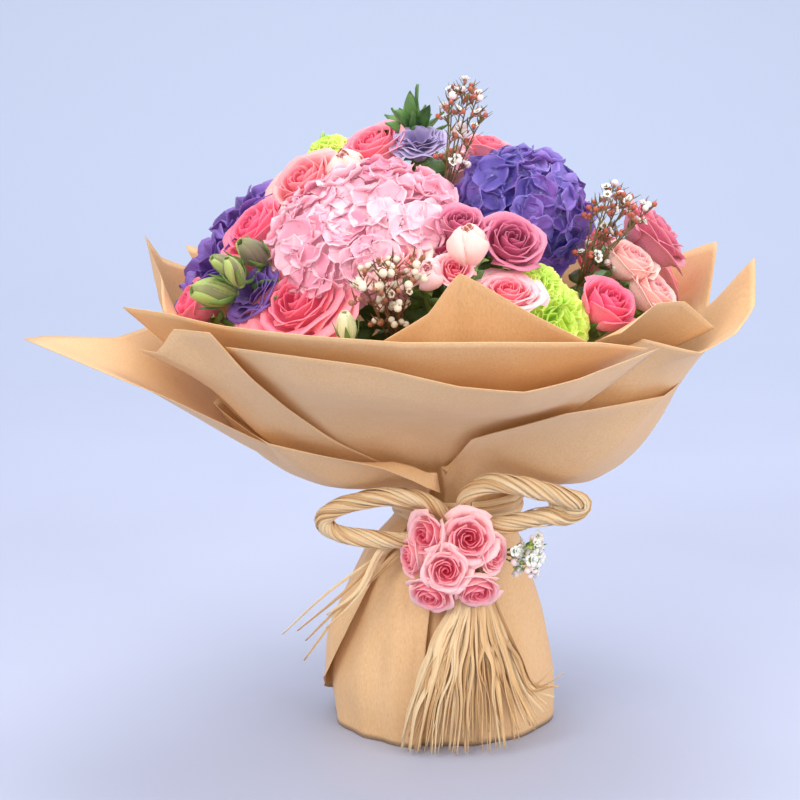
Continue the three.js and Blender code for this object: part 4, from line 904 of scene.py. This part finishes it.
for node, (slot, tone, blooms) in ROSES.items():
    in_dome = not node.startswith("posy")
    body = Body()
    for k, (crown, facing, radius, tall, opened, petals) in enumerate(blooms):
        random = draws(101 + 7 * len(node) + 31 * k + abs(crown[0]))
        body.place = placed(crown, facing, radius * tall)
        rose_petals(body, radius, radius * tall, opened, petals, random)
        if in_dome:
            stem_ends.append(body.place)
    crown, facing, radius, tall, *_ = blooms[0]
    body.place = placed(crown, facing, radius * tall)
    calyx(body, radius, radius * tall)
    if in_dome:
        body.keep_inside(collar)
    body.finish(node, slot, [tone, sepal_green])


# Lisianthus: five wide satin petals with a ruffled rim, two to four more rounds inside them, and a pale
# yellow heart. Its buds are twisted, green, and streaked with the flower's violet.

LISIANTHUS_TALL = 1.05


def ruffled_bloom(body, radius, height, random, rounds, frill):
    for k in range(5 * rounds):
        t = k // 5 / (rounds - 1)
        chance = next(random)
        start = 2 * math.pi * (k % 5) / 5 + 0.6 * t + 0.1 * chance
        full = radius * (0.5 + 0.5 * t)
        top = height * (1 - 0.16 * t)
        phase = 6 * chance

        def shape(u, v):
            width = 0.86 * (0.45 + 0.55 * math.sin(math.pi * min(0.15 + 0.6 * v, 0.6)))
            angle = start + u * width
            reach = full * (0.15 + 0.6 * v + 0.25 * v ** 3) * (1 + 0.08 * u)
            ruffle = frill * radius * v ** 2
            reach += ruffle * math.sin(5.5 * u + phase)
            rise = top * (1.5 * v - 0.5 * v * v * (1 + 0.2 * t)) - 0.16 * height * u * u * v ** 2
            rise += 0.9 * ruffle * math.cos(4.5 * u + 2 * phase)
            return around(reach, angle, min(rise, height))

        body.patch(8, 12, shape, layer=0.3 + 0.6 * t, chance=chance)


deep_violet = petal_finish(
    "violet_lisianthus_petal", "3b2069", "593992", "8866ba", spot="cdbde4", light=0.14, tint="6f429a")
dark_violet = petal_finish("dark_lisianthus_petal", "2a1248", "4a2878", "6f4a9c")
lavender = petal_finish("lavender_lisianthus_petal", "5d4b84", "8474a8", "b4a6cc", spot="e4dcf0")
pollen = leaf_finish("pollen", "c9b23f", "efe08a")
LISIANTHUS = {
    "lisianthus_front": ((-138, -98, 353), (-55, 36), 23, dark_violet, "deep_violet", 4, 0.06),
    "lisianthus_left": ((-178, -20, 362), (-76, 36), 38, deep_violet, "deep_violet", 3, 0.12),
    "lisianthus_upper": ((-156, 10, 394), (-84, 46), 38, deep_violet, "deep_violet", 3, 0.12),
    "lisianthus_lavender": ((-18, -6, 450), (-10, 66), 22, lavender, "lavender", 5, 0.06),
    "lisianthus_back": ((-10, 192, 346), (180, 34), 34, deep_violet, "deep_violet", 3, 0.12),
}
for k, (node, (crown, facing, radius, tone, slot, rounds, frill)) in enumerate(LISIANTHUS.items()):
    body = Body()
    height = LISIANTHUS_TALL * radius
    body.place = placed(crown, facing, height)
    ruffled_bloom(body, radius, height, draws(300 + k), rounds, frill)
    calyx(body, radius, height, droop=0.2)
    body.bead(above(0.5 * height), (0.13 * radius, 0.13 * radius, 0.2 * height), material=2, fine=2)
    stem_ends.append(body.place)
    body.keep_inside(collar)
    body.finish(node, slot, [tone, sepal_green, pollen])

bud_tone = petal_finish("striped_bud", "6a4d58", "93a84c", "bfce74", spot="839c44", veins=1.8)
cream_tone = petal_finish("cream_bud", "c9cf8a", "e3e0ac", "f3edcf", spot="9db35c")
BUDS = {
    "lisianthus_buds_left": ([
        (11, 34, (-176, -100, 352), (-66, 8)), (7.6, 30, (-162, -92, 374), (-64, 30)),
        (7, 24, (-150, -110, 377), (-50, 60)), (9, 30, (-142, -98, 386), (-50, 36)),
    ], bud_tone),
    "bud_cream_front": ([(7, 24, (-68, -164, 350), (-20, 70))], cream_tone),
}
for node, (buds, tone) in BUDS.items():
    body = Body()
    for k, (radius, length, crown, facing) in enumerate(buds):
        body.place = placed(crown, facing, length)
        random = draws(340 + k)
        for j in range(7):
            start = j * GOLDEN_ANGLE
            chance = next(random)

            def shape(u, v):
                angle = start + 0.9 * u + 1.1 * v
                belly = math.sin(math.pi * min(0.1 + 0.82 * v, 0.94)) ** 0.7
                reach = radius * belly * (0.86 + 0.02 * j + 0.05 * u)
                return around(reach, angle, length * v * (1 - 0.04 * u * u))

            body.patch(8, 5, shape, layer=0.1 + 0.7 * chance, chance=chance)
        for j in range(4):
            start = j * math.pi / 2 + k

            def sepal(u, v):
                angle = start + 0.5 * u * (1 - v)
                reach = radius * (0.3 + 0.85 * math.sin(2.6 * min(v, 0.62)) + 0.5 * max(v - 0.6, 0))
                return around(reach, angle, 0.75 * length * v)

            body.patch(6, 2, sepal, material=1)
    body.thicken(PETAL_THICKNESS)
    for k, (radius, length, crown, facing) in enumerate(buds):
        body.place = placed(crown, facing, length)
        body.bead(above(1), (0.5 * radius, 0.5 * radius, 3), material=1, fine=2)
    body.place = Matrix()
    for one, other in zip(buds, buds[1:]):
        ends = [placed(c, f, h) @ above(3) for _, h, c, f in (one, other)]
        sag = (ends[0] + ends[1]) / 2 - above(6)
        body.tube([ends[0], sag, ends[1]], 1.5, 6, material=1)
    stem_ends.append(placed(buds[0][2], buds[0][3], buds[0][1]))
    body.keep_inside(collar)
    body.finish(node, "bud_green", [tone, sepal_green])


# Carnations: a dense dome of thin petals with toothed and frilled edges, all from one green cup.

CARNATION_TALL = 1.15
CARNATION_PETALS = 44


def frilled_bloom(body, radius, height, random):
    for k in range(CARNATION_PETALS):
        t = ((k + 0.5) / CARNATION_PETALS) ** 0.62
        start = k * GOLDEN_ANGLE
        chance = next(random)
        rise_angle = math.radians(lerp(84, 4, t))
        length = lerp(0.88 * height, 0.95 * radius, t)
        spread = lerp(1.4, 0.7, t)
        phase = 20 * chance

        def shape(u, v):
            teeth = 0.035 * math.sin(16 * u + phase) * v ** 4
            lean = rise_angle + 0.55 * (1 - v) * t + 0.24 * math.sin(4.6 * u + phase) * v
            angle = start + u * spread * (0.25 + 0.75 * v)
            reach = length * (v * (1 - 0.12 * u * u) + teeth)
            flat, up = reach * math.cos(lean), reach * math.sin(lean)
            return around(flat, angle, 0.2 * height * t + up * (1 - 0.1 * t))

        body.patch(6, 14, shape, layer=t, chance=chance)


lime = petal_finish(
    "lime_carnation_petal", "98c238", "bbdb4c", "def080", spot="9cc044", veins=0.15, light=0.16)
CARNATIONS = {
    "carnations_right": [((82, -128, 350), (32, 38), 34), ((68, -118, 369), (24, 50), 20)],
    "carnation_back": [((-91, 27, 446), (-100, 62), 19)],
}
for node, blooms in CARNATIONS.items():
    body = Body()
    for k, (crown, facing, radius) in enumerate(blooms):
        height = CARNATION_TALL * radius
        body.place = placed(crown, facing, height)
        frilled_bloom(body, radius, height, draws(400 + k))
    stem_ends.append(body.place)
    calyx(body, radius, height, droop=0.1)
    body.keep_inside(collar)
    body.finish(node, "lime", [lime, sepal_green])


# Hydrangea heads: domes of small flowers, each of four rounded petals with a bead in the middle.

FLORET_RISE = 5
INSET = 8
SUNK = 7
HYDRANGEAS = {
    "hydrangea_blue": ((80, -34, 428), (60, 52), 49, 42, 14.5, -0.45),
    "hydrangea_pink": ((-64, -88, 417), (-28, 60), 69, 38, 15, -0.25),
    "hydrangea_pink_back": ((58, 104, 412), (150, 56), 68, 36, 14, -0.2),
    "hydrangea_blue_back": ((-90, 118, 400), (-150, 50), 62, 34, 14, -0.2),
}


def floret(body, size, random):
    chance = next(random)
    cup = 0.02 + 0.3 * next(random)
    for k in range(4):
        tilt = cup + 0.3 * (next(random) - 0.5)
        long = size * (0.94 + 0.12 * next(random))
        turn = Matrix.Rotation(math.pi / 2 * k, 3, "Z")

        def shape(u, v):
            width = 0.7 * math.sin(math.pi * (0.07 + 0.68 * v)) ** 0.8
            wave = 0.12 * math.sin(3.6 * u + 9 * chance + k) * v * v
            x = long * (0.06 + 0.94 * v * (1 - 0.36 * u * u * v * v))
            z = FLORET_RISE + long * (tilt * v * v - 0.22 * (1 - abs(u)) * v * (1 - v) + wave)
            return turn @ Vector((x, long * width * u, z))

        body.patch(5, 4, shape, layer=chance, chance=chance)


def floret_spots(wide, deep, size, lowest, random):
    """Places over the dome in a spiral from its crown down, each a little tipped and turned."""
    spots = []
    up = 0.985
    while up > lowest:
        turn = len(spots) * GOLDEN_ANGLE
        flat = math.sqrt(1 - up * up)
        normal = around(flat / wide, turn, up / deep).normalized()
        lump = math.sin(3 * turn) * flat + math.sin(5 * up + 2)
        inset = INSET + 1.6 * lump + 3 * next(random) + SUNK * (len(spots) % 3 == 2)
        spot = around((wide - inset) * flat, turn, deep + (deep - inset) * up)
        jitter = Vector((next(random) - 0.5, next(random) - 0.5, next(random) - 0.5)) * 0.7
        spin = Matrix.Rotation(6.3 * next(random), 4, "Z")
        spots.append(Matrix.Translation(spot) @ turned_to((normal + jitter).normalized()) @ spin)
        girth = 2 * math.pi * wide * math.hypot(wide * up, deep * flat)
        up -= (0.86 * size) ** 2 / girth
    return spots


hydrangea_tones = {
    "hydrangea_blue": [
        petal_finish("blue_hydrangea_petal", "2f2276", "5447a4", "8876c8", "8a7cc8", 0.4, 0.14, "8446a4"),
        leaf_finish("blue_hydrangea_bead", "5a55a8", "9fb0d8"), stalk_green,
    ],
    "hydrangea_pink": [
        petal_finish("pink_hydrangea_petal", "e089a4", "f0afc1", "f6cad5", "ecbac4", 0.4, 0.11, "eea4b8"),
        leaf_finish("pink_hydrangea_bead", "d98fb0", "f0cfd8"), stalk_green,
    ],
}
for k, (node, (crown, facing, wide, deep, size, lowest)) in enumerate(HYDRANGEAS.items()):
    body = Body()
    head = placed(crown, facing, 2 * deep)
    random = draws(50 + k)
    spots = floret_spots(wide, deep, size, lowest, random)
    for spot in spots:
        body.place = head @ spot
        floret(body, size * (0.9 + 0.2 * next(random)), random)
    body.thicken(PETAL_THICKNESS)
    for spot in spots:
        body.place = head @ spot
        body.bead(above(FLORET_RISE + 0.4), (1.3, 1.3, 1.1), material=1)
    body.place = head
    root = above(0.2 * deep)
    for spot in spots[::2]:
        foot = spot.translation
        body.tube([root, foot * 0.6 + root, foot], 1.1, 5, 4, material=2)
    stem_ends.append(head)
    slot = node.removesuffix("_back")
    body.finish(node, slot, hydrangea_tones[slot])


# Waxflower: wiry green twigs that fork again and again, with needle leaves, round red-brown buds and
# small white cups of five petals. Its sprigs fill the gaps between the larger blooms.

# Twigs, height, fan and bare stalk, the crown and the way it faces, the seed, two shares, the size of a
# cup, and the length of a needle. A flower whose chance is below the first share is a round bud of the
# first tone, one between the shares is an open cup, and the others are buds of the last tone.
SPRIGS = {
    "waxflower_front": (7, 72, 28, 6, (-42, -170, 380), (-8, 58), 31, (0.66, 0.7), 3.4, 9),
    "waxflower_right": (7, 78, 27, 6, (124, -68, 414), (66, 66), 33, (0.12, 0.3), 3.4, 9),
    "waxflower_top": (6, 104, 23, 26, (18, -38, 484), (60, 76), 32, (0.2, 0.38), 3.4, 9),
    "posy_waxflower": (5, 34, 17, 6, (69, -76, 152), (70, 2), 30, (0.24, 0.82), 4.8, 5),
}
SIDE_TWIGS = 5
NEEDLE_THICKNESS = 0.3
WHITE_BUD = 2.7
SMALL_BUD = 1.8


def wax_cup(body, size):
    for k in range(5):
        start = 2 * math.pi * k / 5

        def shape(u, v):
            angle = start + 0.8 * u * math.sin(math.pi * (0.2 + 0.6 * v))
            reach = size * (0.25 + 0.75 * v * (1 - 0.12 * u * u))
            return around(reach, angle, size * 0.5 * math.sin(1.5 * v))

        body.patch(2, 2, shape, layer=0.9)


def forked_twigs(twigs, height, fan, stalk, random):
    """The course and radius of each twig, and the place and axis of each flower at their ends."""
    branches = []
    flowers = []
    for i in range(twigs):
        lon = i * GOLDEN_TURN
        out = direction(lon, 0) * math.sqrt((i + 0.4) / twigs)
        root = 2.4 * out + above(stalk)
        tip = fan * out
        tip.z = stalk + (height - stalk) * (0.8 + 0.25 * next(random))
        bow = root.lerp(tip, 0.6) + above(0.07 * height)
        branches.append(([root, bow, tip], 0.65))
        flowers.append((tip, direction(lon, 45)))
        for j in range(SIDE_TWIGS):
            knot = on_curve([root, bow, tip], 0.2 + 0.17 * j)
            side = direction(lon + 140 * j + 60 * next(random), 20 + 40 * next(random))
            end = knot + side * fan * (0.3 + 0.22 * next(random))
            end.z = min(end.z, height - 3)
            branches.append(([knot, knot.lerp(end, 0.5) + above(1.5), end], 0.42))
            flowers.append((end, side))
            halfway = knot.lerp(end, 0.55) + above(3)
            flowers.append((halfway, (side + above(1)).normalized()))
    return branches, flowers


wax_white = petal_finish("waxflower_petal", "e9cfd0", "f4efe6", "fdfcf6", spot="e6b9bd", veins=0.1)
wax_cup_red = leaf_finish("waxflower_cup", "7d8f4a", "b0566a")
wax_bud_red = leaf_finish("waxflower_bud", "a33d30", "c8694e")
wax_cream = leaf_finish("waxflower_cream_bead", "d9bfa0", "efe3cb", (0.3, 0.45))
wax_stalk_brown = leaf_finish("waxflower_brown_stalk", "5a3322", "94623c")
wax_twig = leaf_finish("waxflower_twig", "5c5a30", "8d7a48")
wax_bud_brown = leaf_finish("waxflower_brown_bud", "6e3a28", "b0714a")
wax_bud_lime = leaf_finish("waxflower_lime_bud", "8aa83c", "bcd46a")
sprig_tones = {
    "waxflower_front": [wax_cream, wax_stalk_brown, wax_cup_red, wax_bud_brown],
    "waxflower_right": [wax_white, wax_twig, wax_cup_red, wax_bud_red],
    "waxflower_top": [wax_white, wax_twig, wax_cup_red, wax_bud_red],
    "posy_waxflower": [wax_white, stalk_green, wax_bud_lime, wax_bud_lime],
}
for node, (twigs, height, fan, stalk, crown, facing, seed, shares, cup, needles) in SPRIGS.items():
    beads, cups = shares
    body = Body()
    place = placed(crown, facing, height)
    random = draws(seed)
    branches, flowers = forked_twigs(twigs, height, fan, stalk, random)
    blooms = []
    for spot, axis in flowers:
        pose = place @ Matrix.Translation(spot) @ turned_to(axis)
        blooms.append((pose, next(random), 0.8 + 0.4 * next(random)))
    for pose, chance, size in blooms:
        if beads < chance < cups:
            body.place = pose
            wax_cup(body, cup * size)
    body.place = place
    for i, (points, _) in enumerate(branches):
        for j in range(3):
            spot = on_curve(points, 0.2 + 0.3 * j)
            lean = direction(97 * i + 120 * j, 35)
            side = lean.cross(above(1)).normalized()

            def needle(u, v):
                blade = lean * (needles * v) + side * (0.8 * u * (1 - v * v))
                return spot + blade + above(2 * v * v)

            body.patch(3, 2, needle, material=1)
    body.thicken(NEEDLE_THICKNESS)
    for pose, chance, size in blooms:
        body.place = pose
        if beads < chance < cups:
            body.bead(above(0.6), (1.6 * size, 1.6 * size, 1.2 * size), material=1)
            body.bead(above(-1.4), (1.3 * size, 1.3 * size, 2 * size), material=2)
        else:
            tone = 0 if chance <= beads else 3
            ball = (SMALL_BUD if tone else WHITE_BUD) * size
            body.bead(above(0.8), (ball, ball, ball), material=tone, fine=2)
            body.bead(above(-1.4), (1.4 * size, 1.4 * size, 2.2 * size), material=2)
    body.place = place
    stalk_points = [above(-2), above(stalk / 2), above(stalk + 2)]
    body.tube(stalk_points, 1.3, 6, material=1)
    for points, radius in branches:
        body.tube(points, radius, 5, 5, 0.7, material=1)
    if not node.startswith("posy"):
        stem_ends.append(place)
        body.keep_inside(collar)
    body.finish(node, "wax_white", sprig_tones[node])


# Leaves: a tuft of green pointed leaves at the top, as the tips of the greenery stand out of the bunch.
# Each is folded along its rib and bends outwards.

LEAF_THICKNESS = 0.4
LEAF_FOLD = 0.12
TUFT_HEIGHT = 56
TUFT_LEAF = 27
TUFT_REACH = 20


def leaf_blade(body, root, axis, roll, length, width, bend, material=0):
    lift = turned_to(axis.normalized()).to_3x3() @ Matrix.Rotation(roll, 3, "Z")

    def shape(u, v):
        girth = width / 2 * math.sin(math.pi * min(0.04 + 0.94 * v ** 0.85, 1)) ** 0.85
        wave = 0.04 * width * math.sin(14 * v + 2 * u) * abs(u)
        out = bend * v * v - LEAF_FOLD * width * (1 - abs(u)) + wave
        return root + lift @ Vector((girth * u, out, length * v))

    body.patch(8, 4, shape, material=material)


leaf_green = leaf_finish("leaf_green", "3a6234", "6f9850")
body = Body()
tuft = placed((-22, 18, 480), (-20, 84), TUFT_HEIGHT)
body.place = tuft
random = draws(71)
top = TUFT_HEIGHT - 0.8 * TUFT_LEAF
for i in range(7):
    share = (i + 1) / 7
    spread = TUFT_REACH / TUFT_LEAF * (1.3 - share) * (0.8 + 0.4 * next(random))
    lean = above(1) + direction(i * GOLDEN_TURN, 0) * spread
    size = 0.85 + 0.3 * next(random)
    root = above(top * (0.25 + 0.75 * share) - 2)
    leaf_blade(body, root, lean, i * GOLDEN_ANGLE, size * TUFT_LEAF, size * 12, 3)
for i in range(12):
    away = direction(i * GOLDEN_TURN + 40, 14 + 44 * next(random))
    root = above(top * (0.4 + 0.5 * next(random)))
    leaf_blade(body, root, away, 3 * next(random), 27 + 7 * next(random), 11, 4)
body.thicken(LEAF_THICKNESS)
body.tube([above(0), above(top / 2), above(top)], 1.2, 6, material=1)
stem_ends.append(tuft)
body.finish("top_leaves", "leaf", [leaf_green, stalk_green])


# Stems: one under each bloom, through the twine at the tie and splayed to a cut foot. The leaves left on
# them above the tie fill the space under the blooms.

BUNDLE_RADIUS = 17.4
BUNDLE_LOW = 166
BUNDLE_HIGH = 190
SPIRAL_TURN = 35
FOOT_SPREAD = 2.7
STEM_RADIUS = 2.3
body = Body()
count = len(stem_ends)
free = sorted(stem_ends, key=lambda m: math.hypot(m.translation.x, m.translation.y))
paths = []
for i in range(count):
    lon = i * GOLDEN_TURN
    reach = BUNDLE_RADIUS * math.sqrt(i / count)

    def turned(m):
        angle = math.atan2(m.translation.x, -m.translation.y) - math.radians(lon)
        return abs((angle + math.pi) % (2 * math.pi) - math.pi)

    end = min(free[:8], key=turned)
    free.remove(end)
    tied = direction(lon, 0) * reach + Vector((TIE_SHIFT, 0, 0))
    foot = direction(lon - SPIRAL_TURN, 0) * (FOOT_SPREAD * reach)
    high = tied + above(BUNDLE_HIGH)
    base = end.translation
    rise = high.lerp(base, 0.35)
    rise.z = lerp(BUNDLE_HIGH, base.z, 0.525)
    neck = end @ above(-12)
    paths.append([foot, tied + above(BUNDLE_LOW), high, rise, neck, end @ above(2)])
random = draws(77)
for i, path in enumerate(paths):
    for j in range(4):
        share = 0.62 + 0.06 * j
        root = on_curve(path, share)
        lean = direction(i * 97 + 90 * j, 10 + 20 * next(random))
        leaf_blade(body, root, lean, 0, 26 + 12 * next(random), 14 + 5 * next(random), 5, material=1)
body.thicken(LEAF_THICKNESS)
for path in paths:
    body.tube(path, STEM_RADIUS, 8, 30)
body.finish("stem_bundle", "stem", [stalk_green, leaf_green])


# Posy stems: short stalks that bring the small roses together in front of the knot.

body = Body()
gather = KNOT + Vector((0, -11.6, -13))
for radius, _, crown, facing in POSY:
    end = placed(crown, facing, POSY_TALL * radius)
    behind = end @ above(-3)
    body.tube([gather.lerp(behind, 0.1), behind, end @ above(2)], 1.6, 6, 8)
_, height, _, _, crown, facing, *_ = SPRIGS["posy_waxflower"]
end = placed(crown, facing, height)
body.tube([gather.lerp(end.translation, 0.1), end @ above(-3), end @ above(2)], 1.2, 6, 8)
body.finish("posy_stems", "stem", [stalk_green])


# Twine: five turns of brown jute round the stems at the tie, inside the paper.

TWINE_TURNS = 5
TWINE_STEPS = 16
TWINE_RADIUS = 23.5
TWINE_WIDE = 9
body = Body()
turn_points = []
for i in range(TWINE_TURNS * TWINE_STEPS + 1):
    height = TIE_HEIGHT + TWINE_WIDE * (i / (TWINE_TURNS * TWINE_STEPS) - 0.5)
    spot = around(TWINE_RADIUS, 2 * math.pi * i / TWINE_STEPS, height)
    turn_points.append(spot + Vector((TIE_SHIFT, 0, 0)))
body.tube(turn_points, 1.4, 6, 2 * TWINE_TURNS * TWINE_STEPS)
twine = Finish("twine")
lay = twine.noise(twine.stretched(twine.place(), (400, 400, 1400)), 1, 3)
twine_tone = twine.surface(
    Base_Color=twine.ramp(lay, [(0.3, "6b5330"), (0.7, "a98d5e")]),
    Roughness=0.85,
    Normal=twine.bump(lay, 0.0006, 0.8),
)
body.finish("stem_binding", "twine", [twine_tone])


# Studio: a plain pale floor and backdrop with painted light and shade, darker near the front and lighter
# towards the back, soft lights from both sides of the front and from above, and the camera.

CAMERA = Vector((-0.031, -1.540, 0.620))
PITCH = math.radians(90 - 13.5)
LENS = 95
SWEEP_START = 1.2
SWEEP_RADIUS = 1.5
FLOOR_REACH = 9
LIT_SPOT = above(0.28)

floor_mesh = bpy.data.meshes.new("floor")
bm = bmesh.new()
for vert in bmesh.ops.create_grid(bm, x_segments=1, y_segments=60, size=FLOOR_REACH)["verts"]:
    away = max(vert.co.y - SWEEP_START, 0)
    bend = min(away / SWEEP_RADIUS, math.pi / 2)
    vert.co.z = SWEEP_RADIUS * (1 - math.cos(bend)) + max(away - SWEEP_RADIUS * math.pi / 2, 0)
    vert.co.y -= away - SWEEP_RADIUS * math.sin(bend)
for face in bm.faces:
    face.smooth = True
bm.to_mesh(floor_mesh)
bm.free()
floor = linked("floor", floor_mesh)
floor_tone = Finish("floor_tone")
speck = floor_tone.noise(floor_tone.place(), 3, 2)
depth = floor_tone.node("ShaderNodeSeparateXYZ", None, {"Vector": floor_tone.place()}, out=1)
# Painted light and shade: the floor is coloured darker near the front and lighter and bluer towards the
# backdrop.
near_tone = floor_tone.ramp(speck, [(0.3, "b1b8cf"), (0.7, "b6bdd4")])
floor_mesh.materials.append(floor_tone.surface(
    Base_Color=floor_tone.mix(smooth_band(depth, 0.3, 2.2), near_tone, "bcc8e0"),
    Roughness=0.6,
))


def area_light(name, spot, size, power, tint):
    light = bpy.data.lights.new(name, "AREA")
    light.size = size
    light.energy = power
    light.color = tint
    lamp = linked(name, light)
    lamp.location = spot
    lamp.rotation_euler = (LIT_SPOT - Vector(spot)).to_track_quat("-Z", "Y").to_euler()


area_light("key", (-1.1, -1.6, 1.7), 1.2, 27, (1.0, 0.97, 0.93))
area_light("fill", (1.5, -1.2, 1.0), 1.4, 20, (1.0, 0.98, 0.97))
area_light("top", (0.1, 0.5, 1.9), 1.2, 22, (1.0, 1.0, 1.0))
world = bpy.data.worlds.new("studio")
world.use_nodes = True
world.node_tree.nodes["Background"].inputs["Color"].default_value = shader_colour("f3f1f1")
world.node_tree.nodes["Background"].inputs["Strength"].default_value = 1.0
bpy.context.scene.world = world
bpy.context.scene.view_settings.view_transform = "Standard"

camera_data = bpy.data.cameras.new("camera")
camera_data.lens = LENS
camera_data.sensor_width = 36
camera_data.sensor_fit = "HORIZONTAL"
camera = linked("camera", camera_data)
camera.location = CAMERA
camera.rotation_euler = (PITCH, 0, 0)
bpy.context.scene.camera = camera
